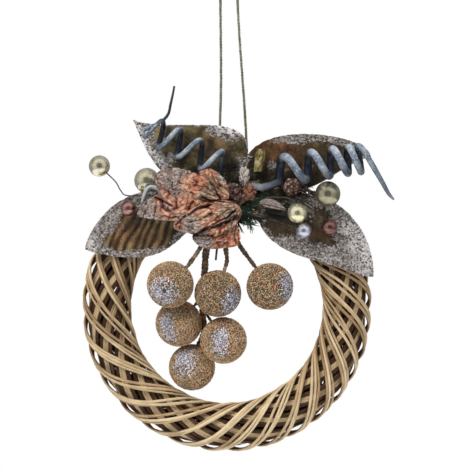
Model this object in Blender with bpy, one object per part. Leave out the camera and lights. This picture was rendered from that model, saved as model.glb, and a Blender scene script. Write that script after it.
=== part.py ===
"""A small woven door wreath: a hollow ring of wound rods on a hanging cord, with an
artificial spray of leaves, a copper bloom, tendrils, beads and grain-covered balls.

Sizes are in millimetres and become metres as each mesh is made. +Z is up, the front
faces -Y, and the origin is at the top of the hanging loop.
"""

import math
import random

import bmesh
import bpy
from mathutils import Vector

# Ring
RING_RADIUS = 72.0  # centre line of the woven tube
TUBE_RADIUS = 15.0  # outside of the weave, from that centre line
RING_SIDE = -1.2  # the ring's centre hangs this far beside the loop
RING_DROP = 105.3  # from the top of the loop down to the top of the ring
STRANDS = 7  # outer strands
CROSSINGS = 32  # times that a strand crosses the front, right round the ring
BAND_WIDTH = 5.0  # three rods side by side
BAND_THICK = 1.8
BUNCHING = 0.25  # strands run on longer along the inner edge
UNEVEN = 0.12  # handwork: the wind is slower at the lower left
SLOW_AT = math.radians(215)
PHASE = math.radians(98.5)  # where the first strand passes the outer edge
INNER_STRANDS = 6
INNER_TURNS = 3
INNER_WIDTH = 5.6
INNER_THICK = 1.6
LAYER_GAP = 0.8  # between the two layers, at the chords of the outer one

# Hanging cord, from the left end over the loop to the right end
CORD_DIAMETER = 2.0
CORD_ROUTE = [
    (-5.6, 0, -104.7), (-5.6, 0, -99), (-5.6, 0, -92), (-5.5, 0, -84), (-5.2, 0, -76),
    (-4.9, 0, -67), (-4.8, 0, -57), (-4.8, 0, -46), (-4.9, 0, -35), (-5.0, 0, -24),
    (-5.1, 0, -13), (-5.1, 0, -7), (-4.7, 0, -3.6), (-3.4, 0, -1.3), (-1.6, 0, -0.2),
    (0, 0, 0), (1.6, 0, -0.2), (3.4, 0, -1.3), (4.7, 0, -3.6), (5.1, 0, -7),
    (5.3, 0, -13), (5.9, 0, -24), (6.6, 0, -35), (7.4, 0, -46), (8.2, 0, -57),
    (8.9, 0, -67), (9.5, 0, -76), (10.0, 0, -84), (10.4, 0, -92), (10.7, 0, -99),
    (10.8, 0, -104.4),
]  # fmt: skip

# Spray. Its places are (right, up, forward) from the ring's top, at the front of the weave
SHEET_THICK = 0.8  # stiffened cloth of the leaves
PETAL_THICK = 0.9
SPRIG_AT = (-3.0, -9.6, 7.6)
SPRIG_HALF = (19.0, 20.5, 4.4)
SPRIG_POINTS = 20  # around its edge, every other one standing out
SPRIG_RINGS = 7
SPIKES = 0.07  # how far the points go out and in, as a share of the half width
GAP = 0.3
ROOM = 0.75  # a cut wire end keeps this share of its radius more, for the slope it meets

# Balls
BALL_RADIUS = 14.1
BALL_PLACES = {
    "a": (-33.6, -58.2, 8.0),
    "b": (-5.4, -63.6, 5.0),
    "c": (25.5, -59.4, 4.0),
    "d": (-28.8, -81.6, -8.0),
    "e": (-2.0, -91.6, -1.3),
    "f": (-21.0, -108.1, -15.0),
}
BALL_GAP = 0.2  # between balls that hang against each other
OPENING_GAP = 1.0  # between the lowest ball and the ring
LEAN_FROM = -40.0  # the bunch can lean out of a small ring from here down
STEM_RADIUS = 1.3
TRUNK_RADIUS = 1.9
TRUNK_ROUTE = [(-8.2, -31.6, 5.6), (-12.2, -37.8, 2.6), (-13.2, -49.2, -1.0), (-14.4, -61.8, -8.6),
               (-14.6, -73.8, -10.6), (-13.8, -85.8, -13.6)]  # fmt: skip
BRANCH_RADIUS = 0.8

# Tendrils
COIL_TUBE = 2.4
COIL_RADIUS = 7.6
CURL_TUBE = 1.65
CURL_RADIUS = 7.5
STUB_TUBE = 1.2

# Beads
LARGE_BEAD = 7.5
GOLD_BEAD = 6.3
CREAM_BEAD = 6.0
SILVER_BEAD = 4.9
COPPER_BEAD = 4.7
BEAD_WIRE = 0.5
WIRE_END = 0.7
POD_AT = (38.6, -0.4, 6.4)
POD_HALF = (5.2, 5.6, 4.0)

RING_Z = -(RING_DROP + RING_RADIUS + TUBE_RADIUS)


def spray(right, up, forward):
    """A place in the spray, as a point of the whole part."""
    return Vector((RING_SIDE + right, -(TUBE_RADIUS + forward), RING_Z + RING_RADIUS + up))


def material(name, colour, roughness, metallic=0.0):
    made = bpy.data.materials.new(name)
    made.use_nodes = True
    shader = made.node_tree.nodes["Principled BSDF"]
    shader.inputs["Base Color"].default_value = (*colour, 1)
    shader.inputs["Roughness"].default_value = roughness
    shader.inputs["Metallic"].default_value = metallic
    return made


def add_mesh(name, bm, finish):
    """Turns a bmesh in millimetres into a named object in metres."""
    bmesh.ops.scale(bm, vec=(0.001, 0.001, 0.001), verts=bm.verts)
    bm.normal_update()
    bmesh.ops.recalc_face_normals(bm, faces=bm.faces)
    mesh = bpy.data.meshes.new(name)
    bm.to_mesh(mesh)
    bm.free()
    mesh.shade_smooth()
    mesh.set_sharp_from_angle(angle=math.radians(50))
    made = bpy.data.objects.new(name, mesh)
    bpy.context.scene.collection.objects.link(made)
    made.data.materials.append(finish)
    return made


def add_tube(name, points, radii, finish, sides=6):
    """A round tube along points in millimetres, with its own radius at each of them."""
    curve = bpy.data.curves.new(name, "CURVE")
    curve.dimensions = "3D"
    curve.bevel_depth = 0.001
    curve.bevel_resolution = (sides - 4) // 2
    curve.use_fill_caps = True
    spline = curve.splines.new("POLY")
    spline.points.add(len(points) - 1)
    for knot, point, radius in zip(spline.points, points, radii):
        knot.co = (*(Vector(point) / 1000), 1)
        knot.radius = radius
    made = bpy.data.objects.new(name, curve)
    bpy.context.scene.collection.objects.link(made)
    curve.materials.append(finish)
    return made


def smooth_path(points, steps):
    """A Catmull-Rom curve through the points, with this many steps between each two."""
    points = [Vector(point) for point in points]
    ends = [2 * points[0] - points[1], *points, 2 * points[-1] - points[-2]]
    path = []
    for a, b, c, d in zip(ends, ends[1:], ends[2:], ends[3:]):
        for step in range(steps):
            t = step / steps
            path.append(
                0.5
                * (2 * b + (c - a) * t + (2 * a - 5 * b + 4 * c - d) * t**2 + (3 * b - a - 3 * c + d) * t**3)
            )
    return [*path, points[-1]]


def add_band(name, points, outward, section, finish):
    """Sweeps a flat section along points; its second axis keeps to the outward directions."""
    bm = bmesh.new()
    loops = []
    for i, point in enumerate(points):
        along = (points[min(i + 1, len(points) - 1)] - points[max(i - 1, 0)]).normalized()
        side = along.cross(outward[i]).normalized()
        out = side.cross(along)
        loops.append([bm.verts.new(point + side * x + out * y) for x, y in section])
    for near, far in zip(loops, loops[1:]):
        for i in range(len(section)):
            j = (i + 1) % len(section)
            bm.faces.new((near[i], near[j], far[j], far[i]))
    bm.faces.new(loops[0])
    bm.faces.new(loops[-1])
    return add_mesh(name, bm, finish)


def on_tube(turn, ring_angle, radius):
    """A point of the ring's tube and its outward direction. Turn 0 is the outer edge, a quarter turn the front."""
    middle = Vector((math.cos(ring_angle), 0, math.sin(ring_angle)))
    outward = math.cos(turn) * middle - math.sin(turn) * Vector((0, 1, 0))
    centre = Vector((RING_SIDE, 0, RING_Z)) + RING_RADIUS * middle
    return centre + radius * outward, outward


def uneven(angle):
    return angle + UNEVEN * math.sin(angle - SLOW_AT)


def ring_strands(finish):
    """Each strand starts and ends on the front, under the spray, where another one goes on."""
    steps = 10  # for each turn
    per_turn = STRANDS * 2 * math.pi / CROSSINGS  # of the ring's own angle
    section = [
        (-BAND_WIDTH / 2, 0), (-BAND_WIDTH / 4, BAND_THICK / 2), (BAND_WIDTH / 4, BAND_THICK / 2),
        (BAND_WIDTH / 2, 0), (BAND_WIDTH / 4, -BAND_THICK / 2), (-BAND_WIDTH / 4, -BAND_THICK / 2),
    ]  # fmt: skip
    for strand in range(STRANDS):
        first = PHASE + (strand - STRANDS // 2) * 2 * math.pi / CROSSINGS - per_turn / 4
        turns = CROSSINGS // STRANDS + (1 if strand < CROSSINGS % STRANDS else 0)
        count = turns * steps
        points, outward = [], []
        for i in range(count + 1):
            inset = 0.25 * (1 if i == 0 else -1 if i == count else 0)
            turn = math.pi / 2 + (i + inset) * 2 * math.pi / steps
            wound = first + per_turn * (turn - BUNCHING * math.sin(turn)) / (2 * math.pi)
            point, out = on_tube(turn, uneven(wound), TUBE_RADIUS - BAND_THICK / 2)
            points.append(point)
            outward.append(out)
        add_band(f"ring_strand_{strand + 1}", points, outward, section, finish)


def inner_strands(finish):
    """Wider bands inside, wound the other way; they start and end at the back, at the top."""
    steps = 8
    chord = (TUBE_RADIUS - BAND_THICK) * math.cos(math.pi / 10) - BAND_THICK / 2
    radius = chord - LAYER_GAP - INNER_THICK / 2
    section = [
        (-INNER_WIDTH / 2, -INNER_THICK / 2), (-INNER_WIDTH / 2, INNER_THICK / 2),
        (INNER_WIDTH / 2, INNER_THICK / 2), (INNER_WIDTH / 2, -INNER_THICK / 2),
    ]  # fmt: skip
    count = INNER_TURNS * steps
    for strand in range(INNER_STRANDS):
        first = math.radians(90) + strand * 2 * math.pi / (INNER_TURNS * INNER_STRANDS)
        points, outward = [], []
        for i in range(count + 1):
            inset = 0.2 * (1 if i == 0 else -1 if i == count else 0)
            turn = -math.pi / 2 - (i + inset) * 2 * math.pi / steps
            point, out = on_tube(turn, first + (i + inset) * 2 * math.pi / count, radius)
            points.append(point)
            outward.append(out)
        add_band(f"ring_inner_strand_{strand + 1}", points, outward, section, finish)


def hanging_cord(finish):
    cord = add_tube("hanging_cord", CORD_ROUTE, [CORD_DIAMETER / 2] * len(CORD_ROUTE), finish, sides=8)
    cord.data.bevel_resolution = 2


def bezier(base, control, tip, t):
    base, control, tip = Vector(base), Vector(control), Vector(tip)
    return (1 - t) ** 2 * base + 2 * t * (1 - t) * control + t**2 * tip


def half_width(t, widest, lean, blunt):
    """Zero at the base and the tip. Lean under 1 moves the widest place to the base; blunt under 1 fills the ends."""
    return widest * math.sin(math.pi * min(max(t, 0.0), 1.0) ** lean) ** blunt


def add_leaf(name, midrib, sides, depth, finish, thick=SHEET_THICK, cup=0.0, pleats=(0, 0.0), grid=(7, 4)):
    """A sheet on a bent midrib. Depth gives its distance forward from base to tip."""
    along, across = grid
    bm = bmesh.new()
    bmesh.ops.create_grid(bm, x_segments=along, y_segments=across, size=0.5)
    least = 0.5
    for vert in bm.verts:
        t, s = vert.co.x + 0.5, 2 * vert.co.y
        middle = bezier(*midrib, t)
        ahead = (bezier(*midrib, t + 0.01) - bezier(*midrib, t - 0.01)).normalized()
        normal = Vector((-ahead.y, ahead.x))
        reach = max(half_width(t, *sides[0 if s > 0 else 1]), least)
        flat = middle + normal * reach * s
        forward = depth(t) + cup * s * s * math.sin(math.pi * t)
        forward += pleats[1] * math.cos(math.pi * pleats[0] * s) * math.sin(math.pi * t)
        vert.co = spray(flat.x, flat.y, forward)
    made = add_mesh(name, bm, finish)
    wall = made.modifiers.new("Thickness", "SOLIDIFY")
    wall.thickness = thick / 1000
    wall.offset = 0
    return made


def leaves(frosted, gold, pale):
    add_leaf("leaf_lower_left", ((-16.2, -15.6), (-52.3, -19.7), (-84.2, -37.2)),
             ((18.6, 0.9, 0.7), (18.6, 0.9, 0.7)), lambda t: 2.4 - 0.4 * t, frosted, cup=1.6)
    add_leaf("leaf_lower_right", ((18.6, -15.0), (61.2, -19.2), (87.0, -53.4)),
             ((18.6, 0.9, 0.8), (19.5, 0.6, 0.5)), lambda t: 1.1 + 0.6 * t, frosted, cup=1.4)
    add_leaf("leaf_upper_left", ((8.4, 5.4), (-22.5, 22.5), (-55.8, 39.6)),
             ((20.4, 1.0, 1.0), (23.4, 0.46, 1.3)), lambda t: 1.0 - 5.0 * t * t, frosted, cup=0.8)
    add_leaf("leaf_upper_right", ((13.8, 7.2), (49.8, 12.6), (85.8, 18.0)),
             ((20.1, 0.66, 0.5), (13.5, 0.75, 1.6)), lambda t: 2.3 - 5.2 * t, frosted, cup=-0.6)
    add_leaf("leaf_small_pale", ((19.2, -9.6), (27.0, -9.0), (35.0, -14.0)),
             ((2.6, 0.8, 0.8), (2.6, 0.8, 0.8)), lambda t: 8.0 - 2.0 * t, pale, cup=0.6, grid=(4, 2))
    gold_roll(gold)


def gold_roll(finish):
    """A leaf rolled to a three-quarter tube, open at the front left and narrower at its foot."""
    radius, wall, height, steps = 3.5, 0.8, 13.0, 8
    foot = spray(18.8, 9.0, 7.2)
    bm = bmesh.new()
    loops = []
    for level in range(3):
        share = level / 2
        around = []
        for reach in (radius, radius - wall):
            arc = [math.radians(150 + 270 * i / steps) for i in range(steps + 1)]
            size = reach * (0.76 + 0.24 * share)
            turned = [Vector((size * math.cos(a), size * math.sin(a), 0)) for a in arc]
            around += turned if reach == radius else turned[::-1]
        lean = Vector((2.2 * share, 0.6 * share, height * share))
        loops.append([bm.verts.new(foot + lean + point) for point in around])
    for near, far in zip(loops, loops[1:]):
        for i in range(len(near)):
            j = (i + 1) % len(near)
            bm.faces.new((near[i], near[j], far[j], far[i]))
    last = 2 * steps + 1
    for loop in (loops[0], loops[-1]):
        for i in range(steps):
            bm.faces.new((loop[i], loop[i + 1], loop[last - i - 1], loop[last - i]))
    add_mesh("leaf_gold_roll", bm, finish)


def sprig_front(right, up):
    """How far forward the sprig's round front stands at this place."""
    inside = 1 - ((right - SPRIG_AT[0]) / SPRIG_HALF[0]) ** 2 - ((up - SPRIG_AT[1]) / SPRIG_HALF[1]) ** 2
    return SPRIG_AT[2] + SPRIG_HALF[2] * math.sqrt(max(inside, 0))


def spiked(angle):
    return 1 - SPIKES + SPIKES * math.cos(angle * SPRIG_POINTS / 2)


def off_sprig(place, radius):
    """Where a wire of this radius starts, just off the sprig's edge on the way to a place."""
    towards = Vector(((place[0] - SPRIG_AT[0]) / SPRIG_HALF[0], (place[1] - SPRIG_AT[1]) / SPRIG_HALF[1]))
    step = 2 * math.pi / SPRIG_POINTS
    first = math.floor(math.atan2(towards.y, towards.x) / step) * step
    corners = [
        math.cos(math.pi / 2 / SPRIG_RINGS) * spiked(angle) * Vector((math.cos(angle), math.sin(angle)))
        for angle in (first, first + step)
    ]
    edge = corners[1] - corners[0]
    reach = corners[0].cross(edge) / towards.cross(edge)
    flat = Vector((towards.x * SPRIG_HALF[0], towards.y * SPRIG_HALF[1]))
    flat = flat * reach + flat.normalized() * (GAP + ROOM * radius)
    return SPRIG_AT[0] + flat.x, SPRIG_AT[1] + flat.y, SPRIG_AT[2]


def pine_sprig(finish):
    """A flat round bush of short needles behind the bloom."""
    bm = bmesh.new()
    bmesh.ops.create_uvsphere(bm, u_segments=SPRIG_POINTS, v_segments=SPRIG_RINGS, radius=1)
    for vert in bm.verts:
        spike = spiked(math.atan2(vert.co.y, vert.co.x)) if abs(vert.co.z) < 0.99 else 1.0
        right, up, forward = (spike * c * h for c, h in zip(vert.co, SPRIG_HALF))
        vert.co = spray(SPRIG_AT[0] + right, SPRIG_AT[1] + up, SPRIG_AT[2] + forward / spike)
    add_mesh("pine_sprig", bm, finish)


def bloom(finish):
    """Five crumpled petals, each laid over the last and all carried by the sprig."""
    layer = PETAL_THICK + 1.5 * GAP
    start = sprig_front(*SPRIG_AT[:2]) + GAP + PETAL_THICK / 2
    petals = {  # midrib, the shapes of both sides, and how far each rises towards its tip
        "lower": (((-6.0, -18.0), (-6.5, -27.5), (-5.6, -37.4)),
                  ((14.4, 1.2, 0.3), (14.4, 1.2, 0.45)), 1.2),
        "left": (((-14.0, -13.0), (-32.0, -8.0), (-53.0, -16.6)),
                 ((9.5, 0.8, 0.6), (9.5, 0.8, 0.6)), 2.6),
        "upper_left": (((-11.0, -12.0), (-23.0, -3.0), (-41.0, 7.6)),
                       ((15.0, 0.85, 0.6), (12.0, 0.85, 0.6)), 3.6),
        "upper_right": (((-3.0, -13.0), (-10.0, -3.0), (-11.0, 11.0)),
                        ((12.4, 0.95, 0.6), (9.4, 0.95, 0.6)), 3.6),
        "centre": (((8.4, -14.8), (-8.0, -17.0), (-31.4, -24.0)),
                   ((10.4, 0.85, 0.6), (9.2, 0.85, 0.6)), 2.4),
    }  # fmt: skip
    for place, (name, (midrib, sides, rise)) in enumerate(petals.items()):
        base = start + place * layer
        add_leaf(
            f"bloom_petal_{name}", midrib, sides, lambda t, base=base, rise=rise: base + rise * t, finish,
            thick=PETAL_THICK, cup=1.0, pleats=(3, 0.5), grid=(6, 6),
        )  # fmt: skip


def tendrils(finish):
    """Two long coils with tails and one short stub, all from the sprig's edge."""
    axis_depth = 14.2
    path, radii = [], []
    stem = [(15.6, 0.6, 9.0), (20.5, -0.6, 10.5)]
    path += [spray(*point) for point in [off_sprig(stem[0], COIL_TUBE), *stem]]
    radii += [COIL_TUBE * 0.7, COIL_TUBE * 0.8, COIL_TUBE * 0.9]
    for i in range(-4, 41):
        n = i / 10
        turn = 2 * math.pi * n
        drop = COIL_RADIUS * math.cos(turn)
        right = 36.0 + 17.4 * n - 1.6 * n * n - 0.27 * drop
        up = 9.9 + 3.0 * n - 0.36 * n * n + drop
        path.append(spray(right, up, axis_depth + COIL_RADIUS * math.sin(turn)))
        radii.append(COIL_TUBE - 0.11 * max(n, 0))
    tail = [(80.6, 21.6, 15.4), (84.4, 15.2, 15.6), (88.4, 8.4, 15.4), (93.0, 0.3, 14.8),
            (95.9, -4.8, 14.2), (98.8, -7.8, 13.6)]  # fmt: skip
    path += [spray(*point) for point in tail]
    radii += [1.85, 1.75, 1.6, 1.4, 1.1, 0.6]
    add_tube("tendril_right", path, radii, finish)

    axis_depth = 12.4
    lean = Vector((0.464, 0.886))
    tail = [(-31.1, 59.2, 14.0), (-31.9, 54.6, 14.6), (-33.4, 47.8, 15.6), (-34.4, 43.0, 16.6),
            (-37.3, 39.2, 17.2), (-41.3, 36.8, 16.9), (-46.0, 34.9, 15.6), (-49.6, 32.4, 13.8)]  # fmt: skip
    path = [spray(*point) for point in tail]
    radii = [0.6, 0.8, 1.0, 1.2, 1.4, 1.5, 1.6, CURL_TUBE]
    for i in range(1, 37):
        n = i / 10
        turn = 2 * math.pi * n
        middle = Vector((-46.8 + 10.44 * n, 34.7 - 5.16 * n)) - lean * CURL_RADIUS * math.cos(turn)
        path.append(spray(middle.x, middle.y, axis_depth + CURL_RADIUS * math.sin(turn)))
        radii.append(CURL_TUBE)
    end = [(-4.4, 17.0, 8.2), (-4.2, 12.4, 7.6)]
    path += [spray(*point) for point in [*end, off_sprig(end[-1], CURL_TUBE)]]
    radii += [CURL_TUBE] * 3
    add_tube("tendril_left", path, radii, finish)

    route = [(-25.0, -9.0, 8.8), (-34.0, -4.0, 9.6), (-43.0, 0.2, 10.0), (-47.6, -2.2, 10.6), (-50.2, -9.0, 10.8)]
    stub = smooth_path([spray(*point) for point in [off_sprig(route[0], STUB_TUBE), *route]], 2)
    add_tube("tendril_stub", stub, [STUB_TUBE] * (len(stub) - 1) + [0.75 * STUB_TUBE], finish)


def from_tube(place):
    """The vector from the nearest point of the ring's centre line to a place in the spray."""
    spoke = Vector((place[0], place[1] + RING_RADIUS, 0)).normalized()
    return Vector(place) - Vector((0, -RING_RADIUS, -TUBE_RADIUS)) - RING_RADIUS * spoke


def leaning(place):
    """The bunch hangs inside the ring, or leans forward over the tube of a ring too small for it."""
    lowest = BALL_PLACES["f"]
    beside = from_tube((lowest[0], lowest[1], -TUBE_RADIUS)).length
    lean = math.sqrt(max((TUBE_RADIUS + BALL_RADIUS + OPENING_GAP) ** 2 - beside**2, 0))
    share = (LEAN_FROM - place[1]) / (LEAN_FROM - lowest[1])
    return Vector((place[0], place[1], place[2] + lean * min(max(share, 0), 1)))


def eased(away, least):
    """The step that takes a ball back to its least distance from something."""
    return away.normalized() * max(least - away.length, 0)


def bunch():
    """The balls' places, eased apart wherever a changed size would press them together."""
    places = {letter: leaning(place) for letter, place in BALL_PLACES.items()}
    trunk = [leaning(point) for point in TRUNK_ROUTE]
    for _ in range(60):
        for letter, place in places.items():
            for other in (places[each] for each in places if each != letter):
                place += eased(place - other, 2 * BALL_RADIUS + BALL_GAP) / 2
            if letter != "f":
                for point in trunk:
                    place += eased(place - point, BALL_RADIUS + 0.8 * TRUNK_RADIUS)
            place += eased(from_tube(place), TUBE_RADIUS + BALL_RADIUS + OPENING_GAP)
    return places


def balls(places, finish):
    for letter, place in places.items():
        bm = bmesh.new()
        bmesh.ops.create_uvsphere(bm, u_segments=12, v_segments=7, radius=BALL_RADIUS)
        bmesh.ops.translate(bm, vec=spray(*place), verts=bm.verts)
        add_mesh(f"foam_ball_{letter}", bm, finish)


def meeting(centre, radius, towards):
    """The point just off a ball's surface, on the side of another point."""
    centre, towards = spray(*centre), Vector(towards)
    return centre + (towards - centre).normalized() * (radius + GAP)


def ball_stems(places, finish):
    """Wrapped wires from under the bloom; the longest carries two branches."""
    routes = {
        "a": ([(-13.2, -29.6, 8.4), (-14.6, -34.0, 8.8), (-17.2, -38.6, 8.6), (-22.8, -46.6, 8.2)], STEM_RADIUS),
        "b": ([(-0.6, -31.8, 7.0), (-0.6, -37.5, 6.6), (0.0, -44.0, 6.0)], STEM_RADIUS),
        "c": ([(5.6, -30.6, 7.0), (7.8, -35.4, 6.2), (13.0, -42.6, 5.2)], STEM_RADIUS),
        "f": (TRUNK_ROUTE, TRUNK_RADIUS),
    }  # fmt: skip
    for letter, (points, radius) in routes.items():
        path = [spray(*leaning(point)) for point in [off_sprig(points[0], radius), *points]]
        path.append(meeting(places[letter], BALL_RADIUS, path[-1]))
        count = len(path) - 1
        radii = [radius * (1 - 0.35 * i / count) for i in range(count + 1)]
        add_tube(f"ball_stem_{letter}", path, radii, finish)
    trunk = [spray(*leaning(point)) for point in TRUNK_ROUTE]
    for letter, level in (("d", 0.3), ("e", 0.9)):
        root = trunk[3].lerp(trunk[4], level)
        end = meeting(places[letter], BALL_RADIUS, root)
        slant = (end - root).angle(trunk[4] - trunk[3])
        clear = (TRUNK_RADIUS + GAP) / math.sin(slant) + BRANCH_RADIUS / abs(math.tan(slant))
        start = root + (end - root).normalized() * clear
        add_tube(f"ball_stem_{letter}", [start, end], [BRANCH_RADIUS] * 2, finish)


def beads(gold, cream, silver, copper, wire):
    """Each bead on a thin wire from the sprig; the gold one by the pod has its wire from there."""
    placed = {
        "gold_far_left": ((-75.7, 12.2, 6.0), GOLD_BEAD, gold,
                          [(-23.4, -6.0, 6.6), (-44.0, -5.4, 7.4), (-59.1, -5.4, 7.8), (-63.0, -2.4, 7.8),
                           (-66.0, 2.7, 7.4)]),
        "gold_left": ((-47.7, 3.7, 0.0), LARGE_BEAD, gold, [(-22.6, -3.0, 5.0), (-33.0, -1.0, 3.6)]),
        "copper_left": ((-58.5, -12.9, 9.8), COPPER_BEAD, copper, [(-23.6, -11.6, 7.2), (-40.0, -12.4, 8.2)]),
        "gold_right": ((59.8, -4.4, 10.2), LARGE_BEAD, gold, []),
        "cream_right": ((41.7, -15.8, 10.6), CREAM_BEAD, cream, [(15.6, -11.6, 10.0), (24.0, -11.0, 11.6)]),
        "silver_right": ((45.4, -26.2, 7.8), SILVER_BEAD, silver, [(15.4, -17.0, 8.4), (26.0, -19.4, 8.4)]),
        "copper_right": ((61.0, -24.1, 8.0), COPPER_BEAD, copper,
                         [(16.4, -7.2, 10.4), (32.0, -6.4, 11.6), (47.4, -9.6, 11.0), (54.0, -16.0, 9.6)]),
    }  # fmt: skip
    for name, (place, radius, finish, route) in placed.items():
        bm = bmesh.new()
        bmesh.ops.create_uvsphere(bm, u_segments=8, v_segments=6, radius=radius)
        bmesh.ops.translate(bm, vec=spray(*place), verts=bm.verts)
        add_mesh(f"bead_{name}", bm, finish)
        start = off_sprig(route[0], BEAD_WIRE) if route else off_pod(place, BEAD_WIRE)
        path = [spray(*point) for point in [start, *route]]
        path.append(meeting(place, radius, path[-1]))
        add_tube(f"bead_wire_{name}", path, [BEAD_WIRE] * len(path), wire, sides=4)


def off_pod(place, radius):
    """Where a wire of this radius starts, just off the pod on the way to a place."""
    towards = Vector(place) - Vector(POD_AT)
    reach = 1 / math.hypot(*(part / half for part, half in zip(towards, POD_HALF)))
    return Vector(POD_AT) + towards * reach + towards.normalized() * (GAP + ROOM * radius)


def pod_and_wire(brown, wire):
    """A dried pod beside the coil, and a bare wire end under the bloom."""
    drift = random.Random(4)
    bm = bmesh.new()
    bmesh.ops.create_icosphere(bm, subdivisions=2, radius=1)
    for vert in bm.verts:
        lump = 1 + drift.uniform(-0.06, 0.06)
        right, up, forward = (c * h for c, h in zip(vert.co, POD_HALF))
        vert.co = spray(POD_AT[0] + lump * right, POD_AT[1] + lump * up, POD_AT[2] + forward)
    add_mesh("dried_pod", bm, brown)
    route = [(-5.0, -31.6, 9.6), (-6.0, -38.0, 10.0), (-6.6, -43.8, 10.2)]
    end = [spray(*point) for point in [off_sprig(route[0], WIRE_END), *route]]
    add_tube("wire_end", end, [WIRE_END] * 3 + [0.85 * WIRE_END], wire, sides=4)


for old in list(bpy.data.objects):
    bpy.data.objects.remove(old, do_unlink=True)

ROD = material("woven rod", (0.36, 0.25, 0.13), 0.6)
DARK_ROD = material("inner rod", (0.16, 0.10, 0.05), 0.75)
CORD = material("cord", (0.25, 0.22, 0.13), 0.7)
FROSTED = material("frosted cloth", (0.19, 0.15, 0.12), 0.6)
PALE = material("pale frosted cloth", (0.42, 0.40, 0.34), 0.6)
GOLD_CLOTH = material("gold cloth", (0.40, 0.33, 0.14), 0.45, 0.3)
COPPER_CLOTH = material("copper cloth", (0.55, 0.24, 0.15), 0.4, 0.5)
NEEDLES = material("pine needles", (0.03, 0.08, 0.05), 0.6)
TENDRIL = material("frosted tendril", (0.28, 0.34, 0.42), 0.5)
GRAIN = material("grain", (0.34, 0.22, 0.10), 0.8)
BARK = material("wrapped wire", (0.22, 0.13, 0.09), 0.8)
GOLD_GLASS = material("gold glass", (0.60, 0.50, 0.22), 0.15, 0.9)
CREAM_GLASS = material("cream glass", (0.80, 0.72, 0.45), 0.15, 0.9)
SILVER_GLASS = material("silver glass", (0.75, 0.78, 0.85), 0.12, 0.9)
COPPER_GLASS = material("copper glass", (0.55, 0.25, 0.22), 0.15, 0.9)
WIRE = material("bead wire", (0.12, 0.11, 0.10), 0.4, 0.9)
POD = material("dried pod", (0.18, 0.10, 0.07), 0.7)

ring_strands(ROD)
inner_strands(DARK_ROD)
hanging_cord(CORD)
leaves(FROSTED, GOLD_CLOTH, PALE)
pine_sprig(NEEDLES)
bloom(COPPER_CLOTH)
tendrils(TENDRIL)
ball_places = bunch()
balls(ball_places, GRAIN)
ball_stems(ball_places, BARK)
beads(GOLD_GLASS, CREAM_GLASS, SILVER_GLASS, COPPER_GLASS, WIRE)
pod_and_wire(POD, WIRE)
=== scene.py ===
import math
import random

import bmesh
import bpy
from mathutils import Matrix, Vector, noise


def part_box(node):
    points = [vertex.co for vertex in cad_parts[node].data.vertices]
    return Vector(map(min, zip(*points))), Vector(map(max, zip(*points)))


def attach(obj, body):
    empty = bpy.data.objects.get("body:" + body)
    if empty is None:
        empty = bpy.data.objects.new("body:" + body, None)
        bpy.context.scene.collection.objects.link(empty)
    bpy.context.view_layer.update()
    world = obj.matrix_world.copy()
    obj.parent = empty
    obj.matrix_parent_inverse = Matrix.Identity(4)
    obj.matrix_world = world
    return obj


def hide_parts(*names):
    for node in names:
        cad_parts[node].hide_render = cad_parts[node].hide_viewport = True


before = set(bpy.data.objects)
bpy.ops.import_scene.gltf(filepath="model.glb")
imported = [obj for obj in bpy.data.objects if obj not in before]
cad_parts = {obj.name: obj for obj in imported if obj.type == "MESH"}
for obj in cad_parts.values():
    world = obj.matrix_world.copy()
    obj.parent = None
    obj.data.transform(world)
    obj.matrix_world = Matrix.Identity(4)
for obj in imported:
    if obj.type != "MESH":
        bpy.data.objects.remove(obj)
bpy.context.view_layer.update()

mm = 0.001  # pieces are made in millimetres and scaled as they are finished
fullTurn = 2 * math.pi

# The ring hangs this far down (drop) and to the side; a lane is a rod's place across and its radius
ringShape = dict(
    radius=72.0, tube=15.0, side=-1.2, drop=192.3, strands=7, crossings=32, bunching=0.25, uneven=0.12,
    slowAt=215.0, phase=98.5, endInset=0.025, layer=14.02, lanes=((-1.55, 0.92), (0.35, 0.95), (1.95, 0.72)),
    steps=34, wander=1.25, gathered=0.0, tones=((0.1, 0.85),), lightLanes=(), paintedFootLight=0.26, seed=0,
    names=("rods", "ring_strand"), slot="woven_rod", finish="woven rod",
    colours=((118, 90, 58), (186, 154, 114), (250, 228, 186)),
)
# the inner layer's dark browns are partly the rods' own colour and partly painted shade for the recess under
# the outer rods
innerShape = dict(
    strands=6, turns=3, overlap=0.01, layer=10.1, steps=30, wander=0.5, gathered=0.36,
    lanes=((-5.1, 0.85), (-3.4, 0.95), (-1.7, 0.9), (0, 0.95), (1.7, 0.9), (3.4, 0.95), (5.1, 0.85)),
    tones=((-0.6, -0.15), (0.6, 1.3)), lightLanes=(2, 3, 4), seed=20,
    names=("inner_rods", "ring_inner_strand"), slot="inner_rod", finish="inner rod",
    colours=((76, 48, 26), (138, 104, 70), (232, 204, 158)),
)
rodShape = dict(sides=8, sway=1.6, sink=(0.25, 0.5), swell=0.16, crestDepth=1.8, toneSeed=3)
ringCentre = Vector((ringShape["side"], 0, -ringShape["drop"]))
ringTop = ringCentre + Vector((0, -ringShape["tube"], ringShape["radius"]))


def spray(right, up, forward):
    # a place in the spray, from the front of the ring's top
    return ringTop + Vector((right, -forward, up))


def sprayAll(points):
    return [spray(*point) for point in points]


def rgb(*colour):
    # a display colour from 0 to 255, as the linear colour that a shader takes
    return tuple(((part / 255 + 0.055) / 1.055) ** 2.4 if part > 10 else part / 3294 for part in colour)


def smoothStep(low, high, value):
    share = min(max((value - low) / (high - low), 0.0), 1.0)
    return share * share * (3 - 2 * share)


def powers(parts, t):
    return sum(part * t**power for power, part in enumerate(parts))


def wave(*place, size=1.0, seed=0.0):
    # smooth noise from -1 to 1, with features about this many millimetres across
    return noise.noise(Vector(place).to_3d() / size + Vector((seed, 0.37 * seed, 1.7 * seed)))


def flatWave(flat, size, seed):
    return wave(flat.x, flat.y, size=size, seed=seed)


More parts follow.
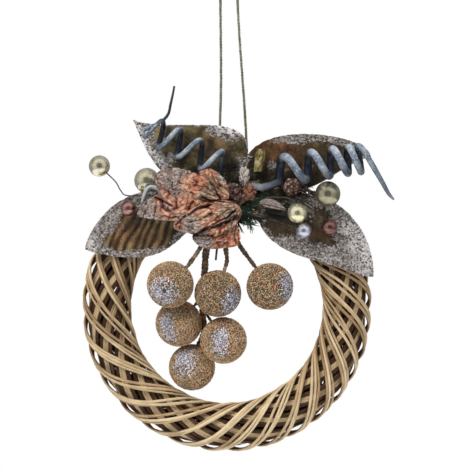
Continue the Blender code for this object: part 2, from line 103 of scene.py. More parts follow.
def ridged(flat, size, seed, octaves=3):
    # sharp creases, 1 along a crease and 0 between them
    total, weight = 0.0, 0.0
    for octave in range(octaves):
        share = 0.55**octave
        total += share * (1 - 2 * abs(flatWave(flat, size / 2**octave, seed + 5 * octave)))
        weight += share
    return total / weight


# Node helpers

def addNode(tree, kind, inputs=(), **settings):
    made = tree.nodes.new("ShaderNode" + kind)
    for key, value in settings.items():
        setattr(made, key, value)
    for key, value in dict(inputs).items():
        if isinstance(value, bpy.types.NodeSocket):
            tree.links.new(value, made.inputs[key])
        else:
            made.inputs[key].default_value = value
    return made


def addRamp(tree, factor, *stops):
    made = addNode(tree, "ValToRGB", {"Fac": factor})
    elements = made.color_ramp.elements
    for element, (position, colour) in zip((elements[0], elements[1]), (stops[0], stops[-1])):
        element.position, element.color = position, (*colour, 1)
    for position, colour in stops[1:-1]:
        elements.new(position).color = (*colour, 1)
    return made.outputs["Color"]


class Finish:
    # a material and the nodes that colour it; a ramp's stops are (position, red, green, blue), 0 to 255

    def __init__(self, name, roughness, metallic=0.0, **sockets):
        self.material = bpy.data.materials.new(name)
        self.material.use_nodes = True
        self.tree = self.material.node_tree
        self.shader = self.tree.nodes["Principled BSDF"]
        for key, value in {"Roughness": roughness, "Metallic": metallic, **sockets}.items():
            self.shader.inputs[key].default_value = value
        self.place = addNode(self.tree, "TexCoord").outputs["Object"]

    def noise(self, scale, detail=3.0, roughness=0.55, place=None):
        inputs = {"Vector": place or self.place, "Scale": scale, "Detail": detail, "Roughness": roughness}
        return addNode(self.tree, "TexNoise", inputs).outputs["Fac"]

    def speckle(self, scale):
        # a random number for each small cell of the surface
        cells = addNode(self.tree, "TexVoronoi", {"Vector": self.place, "Scale": scale})
        return addNode(self.tree, "SeparateColor", {"Color": cells.outputs["Color"]}).outputs["Red"]

    def paint(self, name):
        return addNode(self.tree, "Attribute", attribute_name=name).outputs["Fac"]

    def ramp(self, factor, *stops):
        return addRamp(self.tree, factor, *((position, rgb(*colour)) for position, *colour in stops))

    def grey(self, factor, low, high):
        return addRamp(self.tree, factor, (low, (0, 0, 0)), (high, (1, 1, 1)))

    def mix(self, factor, first, second, blend="MIX"):
        first, second = ((*rgb(*part), 1) if isinstance(part, tuple) else part for part in (first, second))
        inputs = {"Fac": factor, "Color1": first, "Color2": second}
        return addNode(self.tree, "MixRGB", inputs, blend_type=blend).outputs["Color"]

    def times(self, first, second):
        return addNode(self.tree, "Math", {0: first, 1: second}, operation="MULTIPLY").outputs[0]

    def total(self, *parts):
        # parts are (socket, weight)
        result = 0.0
        for part, weight in parts:
            inputs = {0: part, 1: weight, 2: result}
            result = addNode(self.tree, "Math", inputs, operation="MULTIPLY_ADD").outputs[0]
        return result

    def link(self, socket, key):
        self.tree.links.new(socket, self.shader.inputs[key])

    def done(self, colour, height, strength, distance):
        bump = addNode(self.tree, "Bump", {"Height": height, "Strength": strength, "Distance": distance})
        self.link(bump.outputs["Normal"], "Normal")
        self.link(colour, "Base Color")
        return self.material


def mottledFinish(name, roughness, metallic, mottle, stops, grain, strength, distance):
    look = Finish(name, roughness, metallic)
    return look.done(look.ramp(look.noise(*mottle), *stops), look.noise(*grain), strength, distance)


# Mesh helpers

def addPaint(bm, *names):
    return [bm.verts.layers.float.new(name) for name in names]


def addObject(name, bm, finish):
    mesh = bpy.data.meshes.new(name)
    bm.to_mesh(mesh)
    bm.free()
    mesh.materials.append(finish)
    made = bpy.data.objects.new(name, mesh)
    bpy.context.scene.collection.objects.link(made)
    return made


def addPiece(name, bm, finish, slot, *nodes):
    bmesh.ops.scale(bm, vec=(mm, mm, mm), verts=bm.verts)
    bm.normal_update()
    piece = addObject(name, bm, finish)
    piece.data.shade_smooth()
    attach(piece, "root")
    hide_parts(*nodes)
    return piece


def addTube(bm, points, radii, sides=8, tone=0.5):
    # a round tube along the points, from a bevelled curve, with its tone kept as paint
    curve = bpy.data.curves.new("tube", "CURVE")
    curve.dimensions = "3D"
    curve.bevel_depth = 1.0
    curve.bevel_resolution = (sides - 4) // 2
    curve.use_fill_caps = True
    spline = curve.splines.new("POLY")
    spline.points.add(len(points) - 1)
    for knot, point, radius in zip(spline.points, points, radii):
        knot.co = (*point, 1)
        knot.radius = radius
    holder = bpy.data.objects.new("tube", curve)
    mesh = bpy.data.meshes.new_from_object(holder)
    paint = mesh.attributes.new("tone", "FLOAT", "POINT")
    paint.data.foreach_set("value", [tone] * len(mesh.vertices))
    bm.from_mesh(mesh)
    bpy.data.meshes.remove(mesh)
    bpy.data.objects.remove(holder)
    bpy.data.curves.remove(curve)


def addWire(name, routes, shape, finish, *nodes):
    bm = bmesh.new()
    for route in routes:
        line = smoothPath(route, shape["steps"])
        addTube(bm, line, [shape["wireRadius"]] * (len(line) - 1) + [shape["tip"]], sides=shape["sides"])
    addPiece(name, bm, finish, "bead_wire", *nodes)


def smoothPath(points, steps):
    # a Catmull-Rom curve through the points
    points = [Vector(point) for point in points]
    ends = [2 * points[0] - points[1], *points, 2 * points[-1] - points[-2]]
    path = []
    for a, b, c, d in zip(ends, ends[1:], ends[2:], ends[3:]):
        for step in range(steps):
            t = step / steps
            bend = (2 * a - 5 * b + 4 * c - d) * t**2 + (3 * b - a - 3 * c + d) * t**3
            path.append(0.5 * (2 * b + (c - a) * t + bend))
    return [*path, points[-1]]


def runsAlong(path):
    # how far along the path each of its points is
    runs = [0.0]
    for before, after in zip(path, path[1:]):
        runs.append(runs[-1] + (after - before).length)
    return runs


def tangentAt(path, i):
    return (path[min(i + 1, len(path) - 1)] - path[max(i - 1, 0)]).normalized()


def facing(way):
    # the turn that points a thing's own Z this way
    return way.to_track_quat("Z", "Y").to_matrix().to_4x4()


def placeOn(shape, way, size):
    # the place of a lump's surface this way from its middle
    return spray(*(at + half * part * size for at, half, part in zip(shape["at"], shape["half"], way)))


def roundNode(name):
    # the centre and radius of a ball or bead of the frame
    low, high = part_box(name)
    return (low + high) / 2 / mm, (high.z - low.z) / 2 / mm


# Camera, light and floor
photo = dict(pixel=0.6, middle=(235, 235), zeroAt=(229, -13.5), distance=2.0, width=282.0, sensor=36.0)
lamps = {  # place, size and power
    "key": ((-0.5, -1, 0.8), 0.8, 12.5), "fill": ((0.5, -0.8, -1), 0.9, 8),
    "back": ((0.3, 1, 0.4), 0.8, 6), "top": ((0.1, 0.2, 1), 0.8, 9),
}
lampTarget = Vector((0, 0, -0.15))
roomShape = dict(climb=(0.45, 0.85), floor=-0.33, floorRadius=0.4)
roomShades = (
    (0.0, (0.26, 0.26, 0.27)), (0.3, (0.66, 0.66, 0.66)), (0.78, (0.7, 0.7, 0.69)), (0.9, (0.03, 0.03, 0.03)),
)


def setUpStudio():
    scene = bpy.context.scene
    right = (photo["middle"][0] - photo["zeroAt"][0]) * photo["pixel"]
    up = -(photo["middle"][1] - photo["zeroAt"][1]) * photo["pixel"]
    camera = bpy.data.cameras.new("camera")
    camera.sensor_width = photo["sensor"]
    camera.lens = photo["sensor"] * photo["distance"] / (photo["width"] * mm)
    shot = bpy.data.objects.new("camera", camera)
    shot.location = (right * mm, -photo["distance"], up * mm)
    shot.rotation_euler = (math.radians(90), 0, 0)
    scene.collection.objects.link(shot)
    scene.camera = shot
    scene.view_settings.view_transform = "Standard"

    for name, (place, size, power) in lamps.items():
        light = bpy.data.lights.new(name, "AREA")
        light.size = size
        light.energy = power
        made = bpy.data.objects.new(name, light)
        made.location = place
        made.rotation_euler = (lampTarget - made.location).to_track_quat("-Z", "Y").to_euler()
        made.visible_glossy = False
        scene.collection.objects.link(made)

    # a white tent, brightest above, with the dark hole that the camera looks through
    world = bpy.data.worlds.new("room")
    world.use_nodes = True
    tree = world.node_tree
    tree.nodes.clear()
    way = addNode(tree, "TexCoord").outputs["Generated"]
    front = addNode(tree, "VectorMath", {0: way, 1: (0, -1, 0)}, operation="DOT_PRODUCT").outputs["Value"]
    height = addNode(tree, "SeparateXYZ", {"Vector": way}).outputs["Z"]
    shade = addRamp(tree, front, *roomShades)
    climb, least = roomShape["climb"]
    level = addNode(tree, "Math", {0: height, 1: climb, 2: least}, operation="MULTIPLY_ADD").outputs[0]
    around = addNode(tree, "Background", {"Color": shade, "Strength": level})
    seen = addNode(tree, "Background", {"Color": (1, 1, 1, 1), "Strength": 1.0})
    ray = addNode(tree, "LightPath").outputs["Is Camera Ray"]
    both = addNode(tree, "MixShader", {0: ray, 1: around.outputs[0], 2: seen.outputs[0]})
    tree.links.new(both.outputs[0], addNode(tree, "OutputWorld").inputs["Surface"])
    scene.world = world

    bm = bmesh.new()
    bmesh.ops.create_circle(bm, cap_ends=True, segments=64, radius=roomShape["floorRadius"])
    bmesh.ops.translate(bm, vec=(0, 0, roomShape["floor"]), verts=bm.verts)
    pale = Finish("pale floor", 0.7, **{"Base Color": (0.8, 0.8, 0.79, 1)}).material
    floor = addObject("floor", bm, pale)
    print("studio set up")


# Hanging cord: three thin plies laid round each other; its route is (across, height)
cordShape = dict(diameter=2.0, plies=3, plyRadius=0.5, layRadius=0.47, pitch=4.6, steps=6)
cordRoute = (
    (-5.6, -104.7), (-5.6, -99), (-5.6, -92), (-5.5, -84), (-5.2, -76), (-4.9, -67), (-4.8, -57), (-4.8, -46),
    (-4.9, -35), (-5, -24), (-5.1, -13), (-5.1, -7), (-4.7, -3.6), (-3.4, -1.3), (-1.6, -0.2), (0, 0),
    (1.6, -0.2), (3.4, -1.3), (4.7, -3.6), (5.1, -7), (5.3, -13), (5.9, -24), (6.6, -35), (7.4, -46),
    (8.2, -57), (8.9, -67), (9.5, -76), (10, -84), (10.4, -92), (10.7, -99), (10.8, -104.4),
)


def hangingCord():
    shape = cordShape
    finish = mottledFinish("twisted cord", 0.75, 0.0, (900, 3), (
        (0.3, 76, 76, 58), (0.5, 122, 121, 98), (0.72, 176, 172, 146)), (2600, 2), 0.5, 0.0002)
    path = smoothPath([(across, 0, height) for across, height in cordRoute], shape["steps"])
    runs = runsAlong(path)
    bm = bmesh.new()
    for ply in range(shape["plies"]):
        strand = []
        for i, point in enumerate(path):
            side = Vector((0, 1, 0))
            up = tangentAt(path, i).cross(side)
            turn = fullTurn * (runs[i] / shape["pitch"] + ply / shape["plies"])
            strand.append(point + shape["layRadius"] * (side * math.cos(turn) + up * math.sin(turn)))
        addTube(bm, strand, [shape["plyRadius"]] * len(strand), sides=6)
    cord = addPiece("cord_plies", bm, finish, "cord", "hanging_cord")
    print("cord made,", round(runs[-1]), "mm")


# Ring

def onTube(turn, ringAngle, radius):
    middle = Vector((math.cos(ringAngle), 0, math.sin(ringAngle)))
    outward = math.cos(turn) * middle - math.sin(turn) * Vector((0, 1, 0))
    return ringCentre + ringShape["radius"] * middle + radius * outward, outward


def rodFinish(name, dark, middle, light):
    # grain runs along each rod and its tone comes from paint; the crest paint adds painted shade between the
    # rods
    look = Finish(name, 0.62)
    along = addNode(look.tree, "UVMap").outputs["UV"]
    grain = addNode(look.tree, "Mapping", {"Vector": along, "Scale": (4, 45, 1)}).outputs["Vector"]
    streaks = look.noise(1.6, 4, 0.65, grain)
    level = look.total((streaks, 0.45), (look.noise(130, 3), 0.35), (look.paint("tone"), 0.45))
    colour = look.ramp(level, (0.36, *dark), (0.58, *middle), (0.88, *light))
    # painted shade: a rod turns dark brown where it sinks in under the others
    colour = look.mix(look.grey(look.paint("crest"), 0.1, 0.7), (84, 54, 30), colour)
    return look.done(colour, streaks, 0.6, 0.0004)


def paintCrest(bm, layer):
    # how far out of the weave each point stands, from 0 to 1; the rods get painted light towards the ring's
    # foot
    crest, = addPaint(bm, "crest")
    tone = bm.verts.layers.float["tone"]
    for vert in bm.verts:
        flat = vert.co - ringCentre
        spoke = Vector((flat.x, 0, flat.z)).normalized() * ringShape["radius"]
        out = (flat - spoke).length - layer
        vert[crest] = min(max(out / rodShape["crestDepth"] + 0.5, 0), 1)
        # painted light: the rods' tone rises towards the ring's foot
        vert[tone] += ringShape["paintedFootLight"] * smoothStep(0, -ringShape["radius"], flat.z)


def outerWinding(shape, strand):
    # the turns round the tube and the angles round the ring, along a strand
    gap = fullTurn / shape["crossings"]
    perTurn = shape["strands"] * gap
    first = math.radians(shape["phase"]) + (strand - shape["strands"] // 2) * gap - perTurn / 4
    turns = shape["crossings"] // shape["strands"] + (strand < shape["crossings"] % shape["strands"])
    start = math.pi / 2 + shape["endInset"] * fullTurn
    span = (turns - 2 * shape["endInset"]) * fullTurn
    count = turns * shape["steps"]
    for i in range(count + 1):
        turn = start + span * i / count
        wound = first + perTurn * (turn - shape["bunching"] * math.sin(turn)) / fullTurn
        yield turn, wound + shape["uneven"] * math.sin(wound - math.radians(shape["slowAt"]))


def innerWinding(shape, strand):
    # the same for the inner layer, which is wound evenly and the other way
    first = math.pi / 2 + strand * fullTurn / (shape["turns"] * shape["strands"])
    count = shape["turns"] * shape["steps"]
    for i in range(count + 1):
        share = shape["overlap"] + (1 - 2 * shape["overlap"]) * i / count
        yield -math.pi / 2 - share * shape["turns"] * fullTurn, first + share * fullTurn


def ringRods(bm, angles, shape, strand, tones):
    # rods beside each other along one wound path, each wandering a little
    drift = random.Random(shape["seed"] + strand)
    layer = shape["layer"]
    for lane, (across, thick) in enumerate(shape["lanes"]):
        points, radii = [], []
        own = drift.uniform(0, 90)
        for i, (turn, ringAngle) in enumerate(angles):
            point, outward = onTube(turn, ringAngle, layer)
            before, after = angles[max(i - 1, 0)], angles[min(i + 1, len(angles) - 1)]
            side = (onTube(*after, layer)[0] - onTube(*before, layer)[0]).cross(outward).normalized()
            sway = across * (1 - shape["gathered"] * max(math.sin(turn), 0))  # gathered at the front
            sway += shape["wander"] * rodShape["sway"] * wave(own, turn * 0.55, lane)
            sink = rodShape["sink"][0] + rodShape["sink"][1] * wave(own, turn * 0.8, lane + 9)
            points.append(point + side * sway - outward * max(sink, 0))
            radii.append(thick * (1 + rodShape["swell"] * wave(own + 30, turn * 0.9, lane)))
        addTube(bm, points, radii, sides=rodShape["sides"], tone=tones[lane])


def makeRing():
    drift = random.Random(rodShape["toneSeed"])
    for shape, winding in ((ringShape, outerWinding), (innerShape, innerWinding)):
        finish = rodFinish(shape["finish"], *shape["colours"])
        for strand in range(shape["strands"]):
            tones = [drift.uniform(*shape["tones"][lane in shape["lightLanes"]])
                     for lane in range(len(shape["lanes"]))]
            bm = bmesh.new()
            ringRods(bm, [*winding(shape, strand)], shape, strand, tones)
            paintCrest(bm, shape["layer"])
            piece, node = (f"{name}_{strand + 1}" for name in shape["names"])
            addPiece(piece, bm, finish, shape["slot"], node)
    print("ring made")


# Leaves and petals: sheets on a bent midrib, repeated from the frame at a finer grain

def bezier(curve, t):
    base, control, tip = (Vector(point) for point in curve)
    return (1 - t) ** 2 * base + 2 * t * (1 - t) * control + t**2 * tip


def halfWidth(t, widest, lean, blunt):
    return widest * math.sin(math.pi * min(max(t, 0.0), 1.0) ** lean) ** blunt


sheetShape = dict(step=0.01, leastWidth=0.4, raggedSize=5.0, raggedAt=(3, 60), tipLength=60)


def sheetGrid(shape, relief):
    # relief gives each place its extra distance forward and its paint
    bm = bmesh.new()
    bmesh.ops.create_grid(bm, x_segments=shape["grid"][0], y_segments=shape["grid"][1], size=0.5)
    names = ("frost", "warm", "cool", "crest", "deep")
    layers = dict(zip(names, addPaint(bm, *names)))
    step, common = sheetShape["step"], sheetShape
    for vert in bm.verts:
        t, s = vert.co.x + 0.5, 2 * vert.co.y
        side = 0 if s > 0 else 1
        ahead = (bezier(shape["midrib"], t + step) - bezier(shape["midrib"], t - step)).normalized()
        reach = max(halfWidth(t, *shape["sides"][side]), common["leastWidth"])
        torn = wave(t / step, common["raggedAt"][side], size=common["raggedSize"], seed=shape["seed"])
        ragged = 1 - shape["ragged"] * abs(torn)
        flat = bezier(shape["midrib"], t) + Vector((-ahead.y, ahead.x)) * reach * s * ragged
        extra, paint = relief(t, s, flat, min(reach * (1 - abs(s)), common["tipLength"] * (1 - t)))
        forward = powers(shape["depth"], t) + shape["cup"] * s * s * math.sin(math.pi * t) + extra
        vert.co = spray(flat.x, flat.y, forward)
        for name, value in paint.items():
            vert[layers[name]] = value
    bmesh.ops.recalc_face_normals(bm, faces=bm.faces)
    return bm


def finishSheet(name, bm, thick, finish, slot, node):
    piece = addPiece(name, bm, finish, slot, node)
    wall = piece.modifiers.new("Thickness", "SOLIDIFY")
    wall.thickness = thick * mm
    wall.offset = 0


def spots(places, flat):
    # how much of the painted spots (x, y, reach, much) reaches this place
    return sum(much * math.exp(-(((flat.x - x) ** 2 + (flat.y - y) ** 2) / reach**2))
               for x, y, reach, much in places)


# sides are (widest, lean, blunt), rims the frost's width at each side, and fold (angle, step, height)
# dark lists the spots of painted shade, partly the cloth's own dark brown
# light sets how strong the painted highlight on the pleats is
leafShapes = {
    "lower_left": dict(
        midrib=((-16.2, -15.6), (-52.3, -19.7), (-84.2, -37.2)),
        sides=((19.2, 0.92, 0.8), (18.8, 0.92, 0.78)), depth=(2.4, -0.4), cup=1.6, light=1.05, pleated=1.0,
        rims=(5.5, 6.5), fold=(66, 4.4, 1.3), dust=(0.16, 0.3), cool=0.3, seed=1.0,
        frosted=((-80, -34, 6, 0.8), (-52, -10, 5, 0.6), (-70, -24, 5, 0.5)),
        warm=((-64, -29, 8, 0.6), (-50, -28, 8, 0.3), (-38, -30, 8, 0.25)),
        bare=((-40, -28, 13, 0.9),), dark=((-27, -27, 7, 0.8),)),
    "lower_right": dict(
        midrib=((18.6, -15), (61.2, -19.2), (87, -53.4)), sides=((18.4, 0.9, 0.85), (19.4, 0.68, 0.66)),
        depth=(1.1, 0.6), cup=1.4, light=0.5, pleated=0.4, rims=(8, 8), fold=(118, 9, 0.5),
        dust=(0.7, 0.35), cool=0.2, seed=2.0, warm=((54, -31, 7, 0.4), (28, -24, 6, 0.3)),
        frosted=((80, -36, 11, 0.8), (70, -26, 7, 0.7), (83, -48, 6, 0.6), (60, -42, 7, 0.45),
                 (46, -36, 5, 0.25)),
        bare=((52, -28, 8, 0.95), (57, -16, 6, 0.75), (63, -33, 7, 0.9), (30, -16, 10, 0.95),
              (40, -22, 8, 0.7), (28, -28, 8, 0.45)),
        dark=((50, -27, 6, 0.4), (30, -16, 9, 0.8), (62, -36, 5, 0.4))),
    "upper_left": dict(
        midrib=((8.4, 5.4), (-22.5, 22.5), (-55.8, 39.6)), sides=((20.4, 1, 1), (23.4, 0.46, 1.3)),
        depth=(1, 0, -5), cup=0.8, light=1.5, pleated=0.25, rims=(7, 1.2), fold=(60, 10, 0.4),
        dust=(0.05, 0.3), cool=0.7, seed=3.0, warm=((-8, 26, 8, 0.3),),
        frosted=((-7, 34, 5, 0.7), (3, 32.5, 4.5, 2), (-4, 34.5, 4, 1), (-50, 34, 7, 0.9),
                 (-47, 24, 6, 0.9), (-40, 15, 6, 0.9), (-33, 18, 4, 0.4), (10.5, 14, 4, 0.9),
                 (9.5, 7, 4, 0.9)),
        bare=((-24, 26, 10, 0.7), (-4, 12, 9, 0.8)), dark=((-28, 22, 12, 0.8), (0, 13, 8, 0.9))),
    "upper_right": dict(
        midrib=((11.6, 7), (49.8, 12.6), (85.8, 18)), sides=((20.1, 0.66, 0.5), (13.5, 0.75, 1.6)),
        depth=(2.3, -5.2), cup=-0.6, light=0.6, pleated=0.3, rims=(6, 1), fold=(70, 9, 0.4),
        dust=(-0.05, 0.3), cool=0.25, seed=4.0, frosted=((12, 5, 4, 0.6), (26.5, 12.5, 3.2, 0.75)),
        warm=((25, 24, 8, 0.9), (40, 22, 7, 0.5)), bare=((18, 26, 13, 1), (50, 8, 16, 0.7)),
        dark=((17, 7, 7, 0.9),)),
}
leafCommon = dict(grid=(156, 60), thick=0.55, ragged=0.035, ridges=0.4, veinDepth=0.5, veinWidth=0.05)


def leafFinish():
    look = Finish("frosted cloth", 0.5)
    speckle, fine = look.speckle(1180), look.noise(900, 3, 0.75)
    dustedAndLit = look.paint("frost")
    broad, close = look.noise(150, 4, 0.6), look.noise(520, 3, 0.7)
    # crest paint lightens the body: painted highlight along the pleats' crests, dark in their folds
    level = look.total((look.paint("crest"), 0.42), (broad, 0.5), (close, 0.45))
    body = look.ramp(level, (0.4, 22, 16, 9), (0.62, 66, 52, 30), (0.95, 164, 144, 96))
    body = look.mix(look.times(look.paint("warm"), look.grey(level, 0.4, 0.75)), body, (142, 84, 44))
    body = look.mix(look.times(look.paint("cool"), 0.8), body, (30, 38, 30))
    # deep paint: painted shade where the coil, bloom and other pieces lie over a leaf, partly the cloth's own
    # dark brown
    body = look.mix(look.paint("deep"), body, (22, 22, 16))
    frost = look.ramp(speckle, (0.08, 76, 67, 62), (0.35, 130, 122, 113), (0.7, 174, 166, 159),
                      (0.93, 228, 222, 224))
    frost = look.mix(look.grey(fine, 0.35, 0.65), look.mix(0.35, frost, (70, 60, 56)), frost)
    thickest = look.grey(look.times(dustedAndLit, 0.5), 0.58, 1.0)
    frost = look.mix(look.times(thickest, look.grey(speckle, 0.12, 0.5)), frost, (248, 242, 242))
    cover = look.grey(look.total((dustedAndLit, 1), (speckle, 0.3), (fine, 0.5)), 0.74, 0.92)
    look.link(look.times(look.times(look.grey(speckle, 0.84, 0.92), cover), 0.7), "Metallic")
    height = look.total((look.times(speckle, cover), 1), (fine, 1))
    return look.done(look.mix(cover, body, frost), height, 0.9, 0.0006)


def leafRelief(shape):
    angle, step, height = shape["fold"]
    across = Vector((math.sin(math.radians(angle)), -math.cos(math.radians(angle))))
    seed = shape["seed"]

    def relief(t, s, flat, edge):
        rim = shape["rims"][0 if s > 0 else 1] * (1 + 0.5 * flatWave(flat, 7, seed))
        frost = 0.95 * (1 - smoothStep(0.5 * rim, 1.2 * rim, edge))
        inside = 1 - 0.75 * frost
        fold = flat.dot(across) / step + 0.55 * flatWave(flat, 12, seed + 4)
        crease = abs(math.sin(math.pi * fold)) ** 1.7 * (0.75 + 0.7 * flatWave(flat, 7, seed + 9))
        vein = shape["veinDepth"] * math.exp(-(s / shape["veinWidth"]) ** 2)
        extra = inside * (height * (crease - 0.5) + shape["ridges"] * ridged(flat, 8, seed) - vein)
        extra += 0.3 * frost * flatWave(flat, 1.3, 8)
        dust = shape["dust"][0] + shape["dust"][1] * flatWave(flat, 6, seed + 2)
        frost = max(frost, dust) * (1 - 0.95 * min(spots(shape["bare"], flat), 1.0))
        frost += spots(shape["frosted"], flat)
        mottle = 0.5 + 0.9 * flatWave(flat, 6.5, seed + 8)
        paint = {
            "frost": frost, "warm": min(spots(shape["warm"], flat), 1.0),
            "cool": shape["cool"] * smoothStep(-0.2, 0.5, flatWave(flat, 12, seed + 6)),
            # painted shade where other pieces lie over the leaf, partly the cloth's own dark brown
            "deep": min(spots(shape["dark"], flat), 1.0) * (1 - smoothStep(0.3, 0.9, frost)),
            # crest paint: painted highlight on the pleats' crests, mixed with a random mottle where a leaf is
            # less pleated
            "crest": shape["light"] * (shape["pleated"] * crease + (1 - shape["pleated"]) * mottle),
        }
        return extra, paint

    return relief


def makeLeaves():
    finish = leafFinish()
    for name, shape in leafShapes.items():
        shape = {**leafCommon, **shape}
        bm = sheetGrid(shape, leafRelief(shape))
        finishSheet(f"leaf_cloth_{name}", bm, shape["thick"], finish, "frosted_cloth", f"leaf_{name}")
    print("leaves made")


# Copper bloom: each petal lies over the last
petalShapes = {
    "lower": dict(midrib=((-6, -18), (-6.5, -27.5), (-5.6, -36.8)), silver=0.15, seed=14.0,
                  sides=((14.2, 1.5, 0.12), (14.6, 1.25, 0.42)), place=0, rise=1.2),
    "left": dict(midrib=((-14, -13), (-32, -8), (-53, -16.6)), silver=0.35, seed=11.0,
                 sides=((9.5, 0.8, 0.6), (9.5, 0.8, 0.6)), place=1, rise=2.6),
    "upper_left": dict(midrib=((-11, -12), (-23, -3), (-41, 7.6)), silver=0.3, seed=12.6,
                       sides=((15.5, 0.85, 0.5), (12, 0.85, 0.5)), place=2, rise=3.6),
    "upper_right": dict(midrib=((-3, -14), (-10, -3), (-11, 10.2)), silver=0.1, seed=13.0,
                        sides=((12.6, 0.95, 0.45), (9.6, 0.95, 0.5)), place=3, rise=3.6),
    "centre": dict(midrib=((8.4, -14.8), (-8, -17), (-31.4, -24)), silver=0.2, seed=15.0,
                   sides=((10.4, 0.85, 0.55), (9, 0.85, 0.55)), place=4, rise=2.4),
}
petalCommon = dict(grid=(124, 94), thick=0.4, ragged=0.12, cup=1.4, layer=1.35, start=12.75)

# folds fan out from the bloom's heart; a crease is (from x, y, to x, y, width)
bloomShape = dict(
    heart=(8, -12), fan=13.0, along=0.24, foldSize=2.2, height=2.9, fineHeight=1.2, creaseDepth=1.8, curl=1.1,
    creases=((-13.6, -7, -2, -9.8, 1.3), (-11, -10.4, -31, -22, 1.2), (6.4, -18.6, -21, -28.8, 1.7),
             (5, -15.4, -8.4, -22.2, 0.8), (-42, -6.4, -33, -11, 1), (-4, -8, -9, 2, 0.7)),
    frosted=((-34, 4, 9.5, 0.75), (-29, -5, 5, 0.3), (-47, -15, 9, 0.75), (-22, -22, 6.5, 0.75),
             (-2.5, 6, 3.5, 1.4), (-15, -33, 6, 1.2), (-27, 11, 5, 0.5), (-13, -2, 5, 0.3),
             (-2, -20, 5, 0.3)),
    bright=((-17.5, 2, 6, 0.55), (-38.5, -8.4, 4, 0.9), (4, -31, 6, 0.85), (-23, -14, 7, 0.45),
            (-9, -14, 5, 0.3)),
    olive=((-11.5, -3.6, 4.5, 0.9), (2, -15.5, 6, 0.9), (-3.5, -1, 5, 0.6), (-16, -20, 4, 0.4)),
    # dim spots weaken the painted highlight: painted shade on the bloom's top
    dim=((-13, 5, 9, 0.2),),
)
knotShapes = {
    "bloom_knot": dict(at=(13.2, -3.4, 10), half=(3.9, 5, 3), frost=0.1, warm=0.9, shade=0.85, seed=16),
    "bloom_heart": dict(at=(3.4, -5.6, 9.6), half=(7.2, 7.2, 3.8), frost=0.4, cool=0.4, shade=1.15, seed=17),
    "bloom_end": dict(at=(10.4, 5.4, 8.2), half=(3, 6.4, 2.4), frost=1.55, cool=0.5, shade=0.15, seed=19),
}
knotCommon = dict(warm=0.0, cool=0.0, size=(0.52, 0.62))


def petalFinish():
    look = Finish("copper cloth", 0.42, 0.2)
    speckle, fine = look.speckle(1050), look.noise(700, 3, 0.7)
    dustedAndLit = look.paint("frost")
    # crest paint: painted highlight on the crests of the folds
    level = look.total((look.paint("crest"), 0.4), (look.noise(170, 4, 0.65), 0.5), (fine, 0.25))
    copper = look.ramp(level, (0.32, 98, 50, 34), (0.55, 174, 110, 82), (0.86, 248, 200, 170))
    bright = look.ramp(level, (0.32, 124, 54, 34), (0.55, 204, 114, 80), (0.86, 255, 202, 166))
    olive = look.ramp(level, (0.34, 80, 60, 48), (0.6, 138, 118, 98), (0.88, 200, 184, 158))
    colour = look.mix(look.paint("cool"), look.mix(look.paint("warm"), copper, bright), olive)
    silver = look.ramp(speckle, (0.1, 102, 90, 82), (0.5, 156, 144, 136), (0.92, 220, 212, 206))
    silver = look.mix(0.3, silver, (164, 134, 120))
    silver = look.mix(look.grey(look.times(dustedAndLit, 0.5), 0.5, 0.85), silver, (228, 216, 212))
    colour = look.mix(look.grey(look.total((dustedAndLit, 1), (fine, 0.8)), 0.74, 1.0), colour, silver)
    # painted shade in the creases, from the deep paint
    colour = look.mix(look.paint("deep"), colour, (58, 24, 18))
    # pale specks: the glitter's flecks with painted glints
    colour = look.mix(look.times(look.grey(speckle, 0.93, 0.97), 0.35), colour, (240, 222, 212))
    return look.done(colour, look.total((fine, 1), (speckle, 1)), 0.6, 0.0003)


foldShape = dict(crest=0.34, finer=2.2, coarseShare=0.62)


def folded(*place, size, seed):
    # crumpled cloth: 0 in the sharp creases, 1 on the rounded crests between them
    crest, share = foldShape["crest"], foldShape["coarseShare"]
    coarse = min(abs(wave(*place, size=size, seed=seed)) / crest, 1.0)
    finer = min(abs(wave(*place, size=size / foldShape["finer"], seed=seed + 5)) / crest, 1.0)
    return share * coarse**0.75 + (1 - share) * finer**0.8


def fanned(flat, seed):
    # folds that run out from the bloom's heart
    out = flat - Vector(bloomShape["heart"])
    turn = math.atan2(out.y, -out.x) + 0.16 * flatWave(flat, 10, seed + 30)
    place = (turn * bloomShape["fan"], out.length * bloomShape["along"])
    return folded(*place, size=bloomShape["foldSize"], seed=seed)


def creased(flat, seed):
    # 1 in the bloom's deep creases, which wander a little, and 0 away from them
    place = flat + 1.6 * Vector((flatWave(flat, 7, seed), flatWave(flat, 7, seed + 1)))
    deepest = 0.0
    for x0, y0, x1, y1, width in bloomShape["creases"]:
        start, run = Vector((x0, y0)), Vector((x1 - x0, y1 - y0))
        share = min(max((place - start).dot(run) / run.length_squared, 0.0), 1.0)
        gap = (place - start - run * share).length / (width * (1.15 - 0.5 * share))
        deepest = max(deepest, math.exp(-gap * gap))
    return deepest


